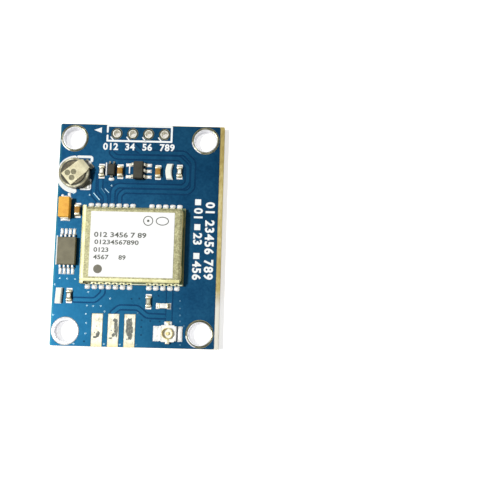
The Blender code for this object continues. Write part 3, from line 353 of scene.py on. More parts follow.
MEMORY = mottled(
    "memory_resin", [(0.155, 0.14, 0.088), (0.235, 0.215, 0.14)],
    1.5, 0.05, 0.55, relief=0.012, specular=0.25)
MOULDING = mottled(
    "moulding_resin", [(0.03, 0.03, 0.02), (0.065, 0.06, 0.042)],
    0.9, 0.05, 0.5, relief=0.012, specular=0.2)
CERAMIC = mottled(
    "ceramic", [(0.31, 0.142, 0.017), (0.46, 0.243, 0.035)], 0.5, 0.06, 0.5, specular=0.25)
RESISTOR = mottled("resistor_coat", [(0.8, 0.78, 0.64), (0.95, 0.94, 0.86)], 0.35, 0.08, 0.35)
GREY_RESISTOR = mottled(
    "grey_resistor_coat", [(0.46, 0.45, 0.31), (0.64, 0.62, 0.46)], 0.35, 0.08, 0.4)
RESISTOR_BASE = mottled("resistor_base", [(0.05, 0.045, 0.02), (0.16, 0.14, 0.07)], 0.3, 0.06, 0.4)
# Painted highlight on the receiver board's lower rim, and painted shade on its right rim
RIM_HIGHLIGHT = mottled("rim_painted_highlight", [(0.62, 0.66, 0.44), (0.92, 0.94, 0.78)], 0.8, 0.1, 0.5)
RIM_SHADE = mottled("rim_painted_shade", [(0.1, 0.09, 0.035), (0.3, 0.26, 0.11)], 0.8, 0.1, 0.5)
DARK_VIA = mottled(
    "dark_via_ring", [(0.0008, 0.009, 0.03), (0.0018, 0.017, 0.048)],
    0.4, 0.08, 0.45, metal=0.7, specular=0.15)
FAINT_VIA = mottled(
    "faint_via_ring", [(0.03, 0.13, 0.22), (0.09, 0.24, 0.36)], 0.4, 0.08, 0.4, metal=0.3)
LAMP = mottled(
    "lamp_resin", [(0.84, 0.87, 0.76), (0.95, 0.96, 0.89)],
    0.5, 0.08, 0.25, relief=0.004, coat=0.4)
INDUCTOR = mottled("inductor_body", [(0.74, 0.74, 0.7), (0.9, 0.9, 0.87)], 0.5, 0.07, 0.4)
SOCKET_PLASTIC = mottled(
    "socket_plastic", [(0.84, 0.85, 0.8), (0.94, 0.95, 0.92)], 0.8, 0.07, 0.45)
WELD = mottled("weld_mark", [(0.1, 0.09, 0.045), (0.21, 0.195, 0.11)], 0.3, 0.05, 0.45, metal=0.3)
SMEAR = mottled(
    "flux_smear", [(0.05, 0.058, 0.045), (0.11, 0.125, 0.1), (0.34, 0.34, 0.26)],
    0.32, 0.1, 0.5, share=0.5)


# Geometry in millimetres

def paint(bm, before, slot):
    """Gives the faces made since before their material slot."""
    for face in bm.faces:
        if face not in before:
            face.material_index = slot


def around(x, y, half_x, half_y, low, high):
    """Corners of a box, from its middle, half widths and heights."""
    return (x - half_x, y - half_y, low), (x + half_x, y + half_y, high)


def outward(edge, side, near, far):
    """Start and end of a form on an axis, measured from an edge towards a side."""
    return sorted((edge + side * near, edge + side * far))


def raised(profile, level):
    """A profile of (radius, rise) points, set on a level."""
    return [(radius, level + rise) for radius, rise in profile]


def add_box(bm, low, high, slot=0, edge=0.0, segments=2):
    """A box between two corners with rounded edges."""
    before = set(bm.faces)
    low, high = Vector(low), Vector(high)
    size, centre = high - low, (high + low) / 2
    verts = bmesh.ops.create_cube(bm, size=1.0)["verts"]
    for vert in verts:
        vert.co = centre + Vector(a * b for a, b in zip(vert.co, size))
    if edge:
        edges = list({link for vert in verts for link in vert.link_edges})
        bmesh.ops.bevel(bm, geom=edges, offset=edge, segments=segments, profile=0.5,
                        affect="EDGES")
    paint(bm, before, slot)


def add_turned(bm, profile, centre, slot=0, segments=32):
    """A closed profile of (radius, height) points turned round an upright axis."""
    before = set(bm.faces)
    x, y = centre[:2]
    verts = [bm.verts.new((x + radius, y, height)) for radius, height in profile]
    edges = [bm.edges.new(pair) for pair in zip(verts, verts[1:] + verts[:1])]
    bmesh.ops.spin(bm, geom=verts + edges, cent=(x, y, 0), axis=(0, 0, 1), dvec=(0, 0, 0),
                   angle=math.tau, steps=segments, use_merge=True, use_duplicate=False)
    paint(bm, before, slot)


def add_disc(bm, centre, radius, low, high, slot=0, segments=32):
    """A flat disc."""
    before = set(bm.faces)
    made = bmesh.ops.create_cone(bm, cap_ends=True, segments=segments, radius1=radius,
                                 radius2=radius, depth=high - low)["verts"]
    bmesh.ops.translate(bm, verts=made, vec=(centre[0], centre[1], (low + high) / 2))
    paint(bm, before, slot)


def add_prism(bm, outline, way, slot=0):
    """The solid between a flat outline and its copy that is moved along a way."""
    before = set(bm.faces)
    face = bm.faces.new([bm.verts.new(point) for point in outline])
    lifted = bmesh.ops.extrude_face_region(bm, geom=[face])["geom"]
    verts = [item for item in lifted if isinstance(item, bmesh.types.BMVert)]
    bmesh.ops.translate(bm, verts=verts, vec=way)
    paint(bm, before, slot)


def add_plate(bm, outline, low, high, slot=0):
    """A plate with a closed outline of (x, y) points."""
    add_prism(bm, [(*point, low) for point in outline], (0, 0, high - low), slot)


def add_mound(bm, low, high, slot=0, squareness=3.5):
    """A rounded mound of solder that fills the rectangle between two corners."""
    before = set(bm.faces)
    low, high = Vector(low), Vector(high)
    half, centre = (high - low) / 2, (high + low) / 2
    verts = bmesh.ops.create_uvsphere(bm, u_segments=20, v_segments=10, radius=1.0)["verts"]
    for vert in verts:
        flat = vert.co.xy
        if flat.length > 1e-6:
            way = flat.normalized()
            reach = (abs(way.x) ** squareness + abs(way.y) ** squareness) ** (-1 / squareness)
            flat = flat * reach
        rise = max(vert.co.z, 0.0)
        vert.co = (centre.x + flat.x * half.x, centre.y + flat.y * half.y,
                   low.z + rise * (high.z - low.z))
    paint(bm, before, slot)


def arc(centre, radius, start, end, steps=12):
    """Points of an arc between two angles in degrees."""
    points = []
    for step in range(steps + 1):
        angle = math.radians(start + (end - start) * step / steps)
        points.append((centre[0] + radius * math.cos(angle),
                       centre[1] + radius * math.sin(angle)))
    return points


def rounded(points, radius=CORNER_RADIUS, steps=4):
    """A path with its inner corners rounded."""
    points = [Vector(point) for point in points]
    path = [points[0]]
    for before, point, after in zip(points, points[1:], points[2:]):
        reach = min(radius, (point - before).length / 2, (after - point).length / 2)
        start = point + (before - point).normalized() * reach
        end = point + (after - point).normalized() * reach
        for step in range(steps + 1):
            share = step / steps
            path.append(start.lerp(point, share).lerp(point.lerp(end, share), share))
    return path + [points[-1]]


def ribbon(points, half):
    """The outline of a band along a path, with round ends."""
    points = [Vector(point) for point in points]
    sides = ([], [])
    for index, point in enumerate(points):
        before, after = points[max(index - 1, 0)], points[min(index + 1, len(points) - 1)]
        along = (after - before).normalized()
        across = Vector((-along.y, along.x)) * half
        sides[0].append(point + across)
        sides[1].append(point - across)
    ends = []
    for point, toward in ((points[-1], points[-2]), (points[0], points[1])):
        angle = math.degrees(math.atan2(*(point - toward).yx))
        ends.append(arc(point, half, angle + 90, angle - 90, 6)[1:-1])
    return sides[0] + ends[0] + sides[1][::-1] + ends[1]


def add_object(name, bm):
    """Turns the geometry of bm into an object of the scene."""
    mesh = bpy.data.meshes.new(name)
    bm.to_mesh(mesh)
    bm.free()
    made = bpy.data.objects.new(name, mesh)
    bpy.context.scene.collection.objects.link(made)
    return made


def new_piece(name, bm, materials, replaces=(), smooth=35.0):
    """Makes the millimetre geometry a piece that rides on the board."""
    bmesh.ops.recalc_face_normals(bm, faces=bm.faces)
    piece = add_object(name, bm)
    mesh = piece.data
    mesh.transform(Matrix.Scale(MM, 4))
    for material in materials:
        mesh.materials.append(material)
    mesh.shade_smooth()
    mesh.set_sharp_from_angle(angle=math.radians(smooth))
    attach(piece, "root")
    if replaces:
        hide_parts(*replaces)


def cut_away(bm, cutters):
    """The geometry of bm less the cutters', as new geometry."""
    for source in (bm, cutters):
        bmesh.ops.recalc_face_normals(source, faces=source.faces)
    stock, cutter = add_object("stock", bm), add_object("cutters", cutters)
    cut = stock.modifiers.new("cut", "BOOLEAN")
    cut.object = cutter
    cut.operation = "DIFFERENCE"
    cut.solver = "EXACT"
    cut.use_self = True
    evaluated = stock.evaluated_get(bpy.context.evaluated_depsgraph_get())
    result = bmesh.new()
    result.from_mesh(evaluated.to_mesh())
    for used in (stock, cutter):
        bpy.data.objects.remove(used)
    return result


# The carrier board

BOARD_LOW, BOARD_HIGH = corners("circuit_board")
MOUNTS = [middle(f"mounting_hole_plating_{index}") for index in range(1, 5)]
HEADERS = [middle(f"header_hole_plating_{index}") for index in range(1, 5)]
EDGE_PADS = [corners(f"edge_pad_{index}") for index in range(1, 4)]
RECEIVER_LOW, RECEIVER_HIGH = corners("receiver_board")

# Centre lines of the copper tracks that show under the mask
TRACKS = {
    "header_to_contact": [
        (-1.23, 15.35), (-1.23, 14.65), (0.17, 13.25), (7.2, 13.25), (8.6, 11.85), (8.6, 7.66),
        (7.9, 6.96), (-2.18, 6.96), (-2.88, 6.26), (-2.88, 4.9)],
    "second_contact": [
        (-4.47, 13.13), (-3.77, 12.43), (6.38, 12.43), (7.78, 11.03), (7.78, 8.48),
        (7.08, 7.78), (-3.28, 7.78), (-3.98, 7.08), (-3.98, 4.9)],
    "cell_side": [(-6.18, 4.9), (-6.18, 5.35), (-7.05, 6.25), (-7.05, 9.4)],
    "cell_side_inner": [(-5.08, 4.9), (-5.08, 6.0), (-6.0, 6.95), (-6.0, 8.6)],
    "lower_left": [(-4.85, -8.75), (-4.85, -9.35), (-6.0, -10.48), (-9.25, -10.48)],
    "edge_pad": [(-3.2, -12.4), (-2.2, -11.49), (0.7, -11.49), (2.2, -12.72), (4.9, -12.75)],
}
FEED = [(5.62, -8.8), (5.62, -14.3)]

# Vias whose rim shows light, dark or faintly
LIGHT_VIAS = [
    (-11.65, -7.18), (-10.5, -7.18), (-9.29, -7.23), (-12.4, -8.17), (-7.11, -9.22),
    (-3.64, -10.15), (-7.21, -11.34), (-6.25, -11.37), (-5.07, -11.35), (-7.31, -12.64),
    (-4.42, -12.21), (-7.21, -14.05), (-7.23, -15.68), (-9.01, -17.28), (-12.43, -12.9),
    (-4.31, -17.22), (-1.82, -17.24), (-4.25, 7.77), (-7.65, 6.17), (-10.2, 6.4)]
DARK_VIAS = [
    (-7.4, -16.9), (0.9, -10.05), (-0.3, -10.12), (3.88, -9.54), (1.4, -13.43), (1.38, -14.46),
    (1.4, -15.69), (2.76, -13.52), (4.2, -13.54)]
FAINT_VIAS = [
    (0.74, -12.32), (0.74, -17.25), (7.26, -10.27), (7.3, -11.44), (7.34, -12.52),
    (7.38, -13.45), (8.02, -14.13), (7.5, -17.08)]

# Painted highlights on track edges, as bright streaks on the mask: both ends, half width and
# material slot
TRACK_EDGE_HIGHLIGHTS = [((-7.0, 6.47), (-6.05, 5.42), 0.07, 0), ((-5.26, 7.24), (-4.63, 6.63), 0.058, 0),
           ((-5.85, 7.3), (-5.25, 6.55), 0.046, 2)]

# Flux smears on the edge pads: place and half widths
SMEARS = [
    ((-5.3, -15.75), 0.3, 0.48), ((-5.75, -16.2), 0.26, 0.2), ((-5.5, -14.5), 0.07, 0.1),
    ((-5.25, -13.4), 0.08, 0.09), ((-5.85, -15.5), 0.08, 0.12), ((-2.65, -13.55), 0.34, 0.34),
    ((-2.5, -14.8), 0.34, 1.1), ((-2.85, -15.8), 0.3, 0.28), ((-3.3, -16.3), 0.24, 0.14),
    ((-3.25, -15.1), 0.09, 0.1), ((-0.45, -14.7), 0.62, 1.4), ((-0.15, -16.0), 0.2, 0.5),
    ((-0.75, -16.4), 0.1, 0.12)]
SMEAR_SEED = 1.7
SMEAR_RISE = 0.003


def board_outline(top=0.0):
    """The board's outline with its small round corners, longer by top at the header."""
    radius = BOARD_CORNER
    x, y = BOARD_HIGH.x - radius, BOARD_HIGH.y - radius
    return (arc((x, y + top), radius, 0, 90, 4) + arc((-x, y + top), radius, 90, 180, 4)
            + arc((-x, -y), radius, 180, 270, 4) + arc((x, -y), radius, 270, 360, 4))


def hole_cutters(mount_radius, header_radius):
    """Cutters for the mounting holes and the header holes."""
    cutters = bmesh.new()
    for places, radius in ((MOUNTS, mount_radius), (HEADERS, header_radius)):
        for place in places:
            add_disc(cutters, place, radius, *THROUGH_CUT, segments=HOLE_SEGMENTS)
    return cutters


def opening_cutters():
    """Cutters for the openings of the mask over the holes and the edge pads."""
    cutters = hole_cutters(MOUNT_OPENING, HEADER_OPENING)
    bottom, top = COPPER_CUT
    for low, high in EDGE_PADS:
        add_box(cutters, (low.x - CLEARANCE, low.y - 1, bottom),
                (high.x + CLEARANCE, high.y + CLEARANCE, top))
    return cutters


def add_core():
    """Laminate, with a bare margin beyond the mask on the right and at the top; the right one is
    partly painted shadow.
    """
    core = bmesh.new()
    add_plate(core, board_outline(MARGIN_TOP), CORE_LOW, CORE_HIGH)
    core = cut_away(core, hole_cutters(MOUNT_BARREL, HEADER_BARREL))
    low = (BOARD_HIGH.x - MARGIN_OVERLAP, BOARD_LOW.y + SINK, CORE_LOW + MARGIN_INSET)
    high = (BOARD_HIGH.x + RIGHT_MARGIN_AND_SHADOW, BOARD_HIGH.y + MARGIN_TOP, CORE_HIGH - MARGIN_INSET)
    add_box(core, low, high, 1, MARGIN_EDGE)
    core.normal_update()
    for face in core.faces:
        if face.normal.y < FRONT_FACING:
            face.material_index = 0
    new_piece("board_core", core, [LAMINATE, LAMINATE_MARGIN_AND_SHADOW], ["circuit_board"])


def add_faces():
    """Mask on the underside, and bare mask between the copper on the upper side."""
    under = bmesh.new()
    add_plate(under, board_outline(), 0.0, CORE_LOW)
    under = cut_away(under, hole_cutters(MOUNT_OPENING, HEADER_OPENING))
    new_piece("board_under_mask", under, [MASK])
    bare = bmesh.new()
    add_plate(bare, board_outline(), CORE_HIGH, POUR_LOW)
    bare = cut_away(bare, opening_cutters())
    new_piece("board_bare_mask", bare, [BARE_MASK])


def add_pour():
    """Masked copper: one wide pour, with a channel on both sides of every track."""
    pour = bmesh.new()
    add_plate(pour, board_outline(), POUR_ROOT, MASK_TOP)
    cutters = opening_cutters()
    for path in TRACKS.values():
        add_plate(cutters, ribbon(rounded(path), CHANNEL_HALF), *COPPER_CUT)
    add_plate(cutters, ribbon(FEED, FEED_CHANNEL_HALF), *COPPER_CUT)
    pour = cut_away(pour, cutters)
    for path in TRACKS.values():
        add_plate(pour, ribbon(rounded(path), TRACK_HALF), POUR_ROOT, MASK_TOP, 1)
    add_plate(pour, ribbon(FEED, FEED_HALF), POUR_ROOT, MASK_TOP, 1)
    new_piece("board_mask", pour, [MASK, TRACK_MASK])


def add_vias():
    """Small through-holes under the mask, and bright streaks on it that are painted highlights on
    track edges.
    """
    vias = bmesh.new()
    for slot, places in enumerate((LIGHT_VIAS, DARK_VIAS, FAINT_VIAS)):
        for place in places:
            add_turned(vias, raised(VIA_PROFILE, MASK_TOP), place, slot, 16)
    for start, end, half, slot in TRACK_EDGE_HIGHLIGHTS:
        add_plate(vias, ribbon((start, end), half), MASK_TOP - HIGHLIGHT_RISE,
                  MASK_TOP + HIGHLIGHT_RISE, slot)
    new_piece("vias", vias, [VIA, DARK_VIA, FAINT_VIA])


def add_linings():
    """Tin inside every plated hole, and a raised ring round each mounting hole; the mounting
    holes' linings, the lower-left ring and the glints are painted highlight.
    """
    linings = bmesh.new()
    for places, node, bore, rim, slot in (
            (MOUNTS, "mounting_hole_plating_1", MOUNT_BORE, MOUNT_RIM, 0),
            (HEADERS, "header_hole_plating_1", HEADER_BORE, HEADER_RIM, 1)):
        top = corners(node)[1].z
        hole = bore - LINING
        profile = [(hole, LINING), (bore, LINING), (bore, top), (rim, top), (rim, top + RIM_RISE),
                   (bore + LINING, top + LIP_RISE), (hole, top - LINING)]
        for place in places:
            add_turned(linings, profile, place, slot, HOLE_SEGMENTS)
    top = corners("mounting_hole_plating_1")[1].z
    for place in MOUNTS:
        # The lower-left ring is painted white as a highlight; the other rings get a painted glint
        bright = place.x < 0 and place.y < 0
        ring = raised(RING_PROFILE, top)
        add_turned(linings, ring, place, 0 if bright else 2, HOLE_SEGMENTS)
        if not bright:
            glint = ribbon(arc(place, *GLINT_ARC), GLINT_HALF)
            add_plate(linings, glint, top, top + GLINT_RISE)
    new_piece("hole_linings", linings, [HIGHLIGHT_TIN, BARREL_TIN, HOLE_TIN])


def blotch(centre, half_x, half_y, seed):
    """An uneven round outline."""
    points = []
    for step in range(44):
        angle = math.tau * step / 44
        reach = (1 + 0.16 * math.sin(2 * angle + seed) + 0.1 * math.sin(5 * angle + 2 * seed)
                 + 0.07 * math.sin(11 * angle + 3 * seed))
        points.append((centre[0] + half_x * reach * math.cos(angle),
                       centre[1] + half_y * reach * math.sin(angle)))
    return points


def add_smears():
    """Grey flux smears and specks on the edge pads."""
    smears = bmesh.new()
    top = EDGE_PADS[0][1].z
    for index, (centre, half_x, half_y) in enumerate(SMEARS):
        add_plate(smears, blotch(centre, half_x, half_y, SMEAR_SEED * index), top - SINK,
                  top + SMEAR_RISE + INK_STEP * index / 2)
    new_piece("pad_smears", smears, [SMEAR])


# Ink on the board and print on the label

INK_WIDTH = 0.3
THIN_INK = 0.2
THICK_INK = 0.4
INK_CORNER = 0.2
WIDE_CORNER = 0.25

# Frame round the header holes, open at its left, and the arrow there
HEADER_FRAME = [
    [(-5.25, 15.05), (5.0, 15.05)], [(-5.25, 17.5), (5.0, 17.5)], [(5.0, 15.05), (5.0, 17.5)],
    [(-5.25, 15.05), (-5.25, 15.9)], [(-5.25, 16.5), (-5.25, 17.5)]]
ARROW = [(-7.4, 16.75), (-6.2, 16.3), (-6.2, 17.2)]

# Plain numbers: text and place
HEADER_NUMBERS = [("012", -4.67), ("34", -1.6), ("56", 1.15), ("789", 4.35)]
HEADER_NUMBER_Y = 14.05
SIDE_NUMBERS = [("01", 5.41, 1.9), ("23", 1.43, 1.9), ("456", -3.15, 2.3)]
SIDE_NUMBER_X = 9.6
SQUARE_X = 9.575
SQUARE_HALF = 0.475

# Arcs round the cell: first and last angle, half width and lift
CELL_ARCS = [(188, 95, 0.36, INK_STEP), (178, 268, 0.38, 0.0)]
CELL_ARC_RADIUS = 2.68

# Straight marks: path, width and corner radius
PART_MARKS = [
    ([(-9.75, 12.32), (-7.55, 12.32), (-7.55, 11.7)], THICK_INK, WIDE_CORNER),
    ([(-9.1, 7.1), (-7.65, 7.1), (-7.65, 8.6)], INK_WIDTH, INK_CORNER),
    ([(-5.2, 9.46), (-5.2, 11.4)], THIN_INK, INK_CORNER),
    ([(-1.5, 9.87), (-1.5, 10.84)], THIN_INK, INK_CORNER),
    ([(-12.4, -0.5), (-12.4, -4.95)], THIN_INK, INK_CORNER),
]

# Rows on the label: way in from the left and down from the top, text, height and width
LABEL_ROWS = [
    (0.62, 3.7, "012 3456 7 89", 0.75, 8.1), (0.72, 4.85, "01234567890", 0.68, 6.85),
    (0.66, 6.05, "0123", 0.68, 2.3), (0.62, 7.2, "4567", 0.68, 2.4), (4.55, 7.2, "89", 0.68, 1.1)]
PRINT_ROOT = 0.003
PRINT_RISE = 0.006
MARK_DOWN = 1.35
RING_IN = 8.9
RING_INNER = 0.64
RING_OUTER = 0.78
RING_DOT = 0.2
OVAL_IN = 11.1
OVAL_HALF = (0.95, 0.62)
OVAL_LINE_HALF = 0.07
CORNER_DOT = (-5.37, -5.82)
CORNER_DOT_RADIUS = 0.68


def lettering(text, height, centre, low, high, turn=0.0, weight=0.05, spacing=1.0):
    """Mesh of a word, its capitals height tall, centred on a place."""
    capital_share = 0.7
    curve = bpy.data.curves.new("word", "FONT")
    curve.body = text
    curve.align_x, curve.align_y = "CENTER", "CENTER"
    curve.size = height / capital_share
    curve.extrude = (high - low) / 2
    curve.offset = height * weight
    curve.space_character = spacing
    curve.resolution_u = 3
    word = bpy.data.objects.new("word", curve)
    bpy.context.scene.collection.objects.link(word)
    evaluated = word.evaluated_get(bpy.context.evaluated_depsgraph_get())
    mesh = bpy.data.meshes.new_from_object(evaluated)
    bpy.data.objects.remove(word)
    place = Matrix.Translation((*centre, (low + high) / 2))
    mesh.transform(place @ Matrix.Rotation(math.radians(turn), 4, "Z"))
    return mesh


def add_number(ink, text, height, centre, spacing, turn=0.0):
    """Adds a number to the board's ink."""
    ink.from_mesh(lettering(text, height, centre, INK_ROOT, INK_TOP, turn, spacing=spacing))


def add_stroke(ink, points, width=INK_WIDTH, radius=INK_CORNER):
    """A stroke of ink along a path, lifted a little so that strokes can cross."""
    lift = INK_STEP * (len(ink.faces) % 7)
    add_plate(ink, ribbon(rounded(points, radius), width / 2), INK_ROOT, INK_TOP + lift)


def add_header_ink(ink):
    """The frame, ticks, arrow and numbers of the header holes; the ticks are painted highlights on
    the lands' lower-left edges.
    """
    for line in HEADER_FRAME:
        add_stroke(ink, line)
    # Painted highlights: ink ticks at each land's lower-left edge
    for place in HEADERS:
        add_stroke(ink, [(place.x - 0.92, 15.67), (place.x - 0.5, 15.15)], THIN_INK)
    add_plate(ink, ARROW, INK_ROOT, INK_TOP)
    for text, x in HEADER_NUMBERS:
        add_number(ink, text, 1.05, (x, HEADER_NUMBER_Y), 1.1)


def add_board_ink():
    """Frames, marks and plain numbers printed on the carrier board."""
    ink = bmesh.new()
    add_header_ink(ink)
    cell = middle("cell_can").xy
    for start, end, half, lift in CELL_ARCS:
        band = ribbon(arc(cell, CELL_ARC_RADIUS, start, end), half)
        inside = [(max(x, BOARD_LOW.x + SINK), y) for x, y in band]
        add_plate(ink, inside, INK_ROOT, INK_TOP + lift)
    for path, width, radius in PART_MARKS:
        add_stroke(ink, path, width, radius)
    for text, y, drop in SIDE_NUMBERS:
        add_box(ink, *around(SQUARE_X, y, SQUARE_HALF, SQUARE_HALF, INK_ROOT, INK_TOP))
        add_number(ink, text, 1.28, (SIDE_NUMBER_X, y - drop), 1.12, -90)
    add_number(ink, "01 23456 789", 1.35, (11.45, -0.7), 1.15, -90)
    new_piece("board_ink", ink, [INK])


def add_label_print():
    """Plain rows of digits, two empty frames and a dot on the label."""
    marks = bmesh.new()
    label_low, label_high = corners("receiver_label")
    low, high = label_high.z - PRINT_ROOT, label_high.z + PRINT_RISE
    for left, down, text, height, width in LABEL_ROWS:
        row = lettering(text, height, (0, 0), low, high, weight=0.035)
        xs = [vert.co.x for vert in row.vertices]
        row.transform(Matrix.Scale(width / (max(xs) - min(xs)), 4, (1, 0, 0)))
        place = (label_low.x + left + width / 2, label_high.y - down, 0)
        row.transform(Matrix.Translation(place))
        marks.from_mesh(row)
    ring_place = (label_low.x + RING_IN, label_high.y - MARK_DOWN)
    ring = [(RING_INNER, low), (RING_OUTER, low), (RING_OUTER, high), (RING_INNER, high)]
    add_turned(marks, ring, ring_place)
    add_disc(marks, ring_place, RING_DOT, low, high)
    mid_x, mid_y = label_low.x + OVAL_IN, label_high.y - MARK_DOWN
    oval = [(mid_x + OVAL_HALF[0] * x, mid_y + OVAL_HALF[1] * y)
            for x, y in arc((0, 0), 1.0, 0, 360, 32)]
    add_plate(marks, ribbon(oval, OVAL_LINE_HALF), low, high)
    add_disc(marks, CORNER_DOT, CORNER_DOT_RADIUS, low, high, slot=1)
    new_piece("label_print", marks, [PRINT, DARK_PRINT])


# Contacts and shield

def add_contact(gold, solder, x, side, edge):
    """Gold lining and pad of one contact, with its land and solder on the board."""
    inward = -side * 90
    wall = arc((x, edge), CONTACT_RADIUS, inward - 90, inward + 90, 10)
    lining = arc((x, edge), CONTACT_RADIUS - CONTACT_WALL, inward + 90, inward - 90, 10)
    add_plate(gold, wall + lining, RECEIVER_LOW.z, RECEIVER_HIGH.z + WALL_RISE)
    deep = edge - side * PAD_DEPTH
    near, far = x + side * PAD_HALF, x - side * PAD_HALF
    pad = wall + [(near, edge), (near, deep), (far, deep), (far, edge)]
    add_plate(gold, pad, RECEIVER_HIGH.z, RECEIVER_HIGH.z + PAD_RISE)
    reach = CONTACT_REACH[side]
    start, end = outward(edge, side, 0.05, reach - 0.15)
    add_box(solder, (x - PAD_HALF, start, POUR_LOW), (x + PAD_HALF, end, LAND_TOP))
    start, end = outward(edge, side, 0.08, reach)
    add_mound(solder, (x - MOUND_HALF, start, LAND_TOP - SINK),
              (x + MOUND_HALF, end, LAND_TOP + MOUND_RISE), squareness=3.2)


def add_contacts():
    """The receiver's contacts, and the rims of its board between and beside them: the lower rim
    painted light as a highlight, the right rim painted dark as shade.
    """
    gold, solder = bmesh.new(), bmesh.new()
    low, high = RECEIVER_LOW, RECEIVER_HIGH
    for x in CONTACT_COLUMNS:
        for side, edge in ((-1, low.y), (1, high.y)):
            add_contact(gold, solder, x, side, edge)
    rim_low, rim_high = high.z - 0.01, high.z + 0.008
    rim_left = high.x - RIM_WIDTH
    add_box(gold, (rim_left, low.y, rim_low), (high.x, high.y, rim_high), 2)
    breaks = [low.x] + [x + side * PAD_HALF for x in CONTACT_COLUMNS for side in (-1, 1)]
    for start, end in zip(breaks[::2], breaks[1::2] + [rim_left]):
        add_box(gold, (start, low.y, rim_low), (end, low.y + RIM_WIDTH, rim_high), 1)
    new_piece("receiver_contacts", gold, [CONTACT_GOLD, RIM_HIGHLIGHT, RIM_SHADE])
    new_piece("receiver_solder", solder, [SOLDER], smooth=70.0)


def add_shield_bends():
    """Rounded bends of the shield at its left and lower sides, painted bright as highlights."""
    low, high = corners("receiver_shield")
    left = [(-0.27, 2.75), (-0.27, 3.5), (-0.2, 3.84), (-0.02, 4.02), (0.15, 4.052),
            (0.42, 4.052), (0.42, 4.03), (0.0, 3.96), (-0.12, 3.5), (-0.12, 2.75)]
    lower = [(-0.02, 3.86), (-0.01, 3.92), (0.05, 4.01), (0.16, 4.056), (0.46, 4.056),
             (0.46, 4.03), (0.1, 3.99), (0.05, 3.86)]
    bends = bmesh.new()
    add_prism(bends, [(low.x + x, RECEIVER_LOW.y + SINK, z) for x, z in left],
              (0, RECEIVER_HIGH.y - RECEIVER_LOW.y - 0.06, 0))
    add_prism(bends, [(low.x + SINK, low.y + y, z) for y, z in lower],
              (high.x - low.x - 0.2, 0, 0))
    new_piece("shield_bends_painted_highlight", bends, [BEND_SILVER_HIGHLIGHT], smooth=60.0)


# Solder on the board

# Leads with solder: their numbers and axis, how far it reaches in and out, and beside them
LEADS = {
    "memory": (range(1, 9), 1, 0.2, 0.42, 0.11),
    "regulator": (range(1, 6), 0, 0.2, 0.5, 0.06),
    "transistor": ([3], 1, 0.16, 0.16, 0.06),
}
FOOT_LENGTH = 0.45
LAND_EDGE = 0.015

# Drops of solder: place and radius
DROPS = [(6.11, 9.84, 0.14), (-10.85, 6.2, 0.27), (-11.9, 5.97, 0.24), (-10.47, 5.53, 0.14)]


def add_lead_solder():
    """Lands and solder round the feet of the moulded parts' leads."""
    solder = bmesh.new()
    for part, (numbers, axis, foot, reach, aside) in LEADS.items():
        body = middle(f"{part}_body")
        for number in numbers:
            low, high = corners(f"{part}_lead_{number}")
            away = 1 if (low[axis] + high[axis]) / 2 > body[axis] else -1
            outer = high[axis] if away > 0 else low[axis]
            low[1 - axis] -= aside
            high[1 - axis] += aside
            low[axis], high[axis] = outward(outer, away, -(FOOT_LENGTH + foot), reach)
            low.z, high.z = POUR_LOW, LAND_TOP
            add_box(solder, low, high, edge=LAND_EDGE, segments=1)
            low[axis], high[axis] = outward(outer, away, -foot, reach - 0.03)
            low.z, high.z = LAND_TOP - 0.01, LAND_TOP + 0.17
            add_mound(solder, low, high)
    low, high = corners("transistor_lead_3")
    add_mound(solder, (low.x - 0.32, low.y - 0.22, LAND_TOP - SINK),
              (high.x + 0.32, low.y + 0.35, LAND_TOP + 0.2))
    new_piece("lead_solder", solder, [SOLDER], smooth=70.0)


def add_tantalum_solder(solder):
    """Lands and solder at both straps of the tantalum capacitor."""
    low, high = corners("tantalum_body")
    x = (low.x + high.x) / 2
    for side, edge in ((-1, low.y), (1, high.y)):
        start, end = outward(edge, side, -0.1, 0.42)
        add_box(solder, (x - 0.72, start, POUR_LOW), (x + 0.72, end, LAND_TOP))
        add_mound(solder, (x - 0.68, start, LAND_TOP - 0.01), (x + 0.68, end, LAND_TOP + 0.3))


def add_cell_solder(solder):
    """Solder where the cell's tabs reach the board."""
    cell = middle("cell_can")
    for turn, reach, half in ((CELL_TOP_TURN, 2.86, 0.375), (CELL_BOTTOM_TURN, 2.95, 0.3)):
        angle = math.radians(turn)
        spot = Vector((cell.x + reach * math.cos(angle), cell.y + reach * math.sin(angle)))
        add_mound(solder, *around(*spot, half, half, POUR_LOW, LAND_TOP + 0.28), squareness=2.0)


def add_socket_solder(solder):
    """Lands and solder beside the socket, and two drops at its upper side."""
    low, high = corners("socket_base")
    x, y, _ = (low + high) / 2
    for left, right in ((low.x - 1.0, low.x - 0.02), (high.x + 0.2, high.x + 0.98)):
        add_box(solder, (left, y - 1.2, POUR_LOW), (right, y + 1.15, LAND_TOP),
                edge=LAND_EDGE, segments=1)
        add_mound(solder, (left, y - 1.15, LAND_TOP - 0.01), (right, y + 1.1, LAND_TOP + 0.26),
                  squareness=6.0)
    for drop_x, drop_y, radius in DROPS:
        drop = around(drop_x, drop_y, radius, radius, LAND_TOP - 0.03, LAND_TOP + 0.14)
        add_mound(solder, *drop, squareness=2.0)
    for side in (-1, 1):
        place = x + side * 0.38
        add_mound(solder, (place - 0.24, high.y, LAND_TOP - SINK),
                  (place + 0.24, high.y + 0.62, LAND_TOP + 0.24))


def add_joint_solder():
    """Solder at the cell's tabs, the tantalum capacitor's straps and the socket."""
    solder = bmesh.new()
    add_tantalum_solder(solder)
    add_cell_solder(solder)
    add_socket_solder(solder)
    new_piece("joint_solder", solder, [SOLDER], smooth=70.0)


# Chip parts, lamps and socket

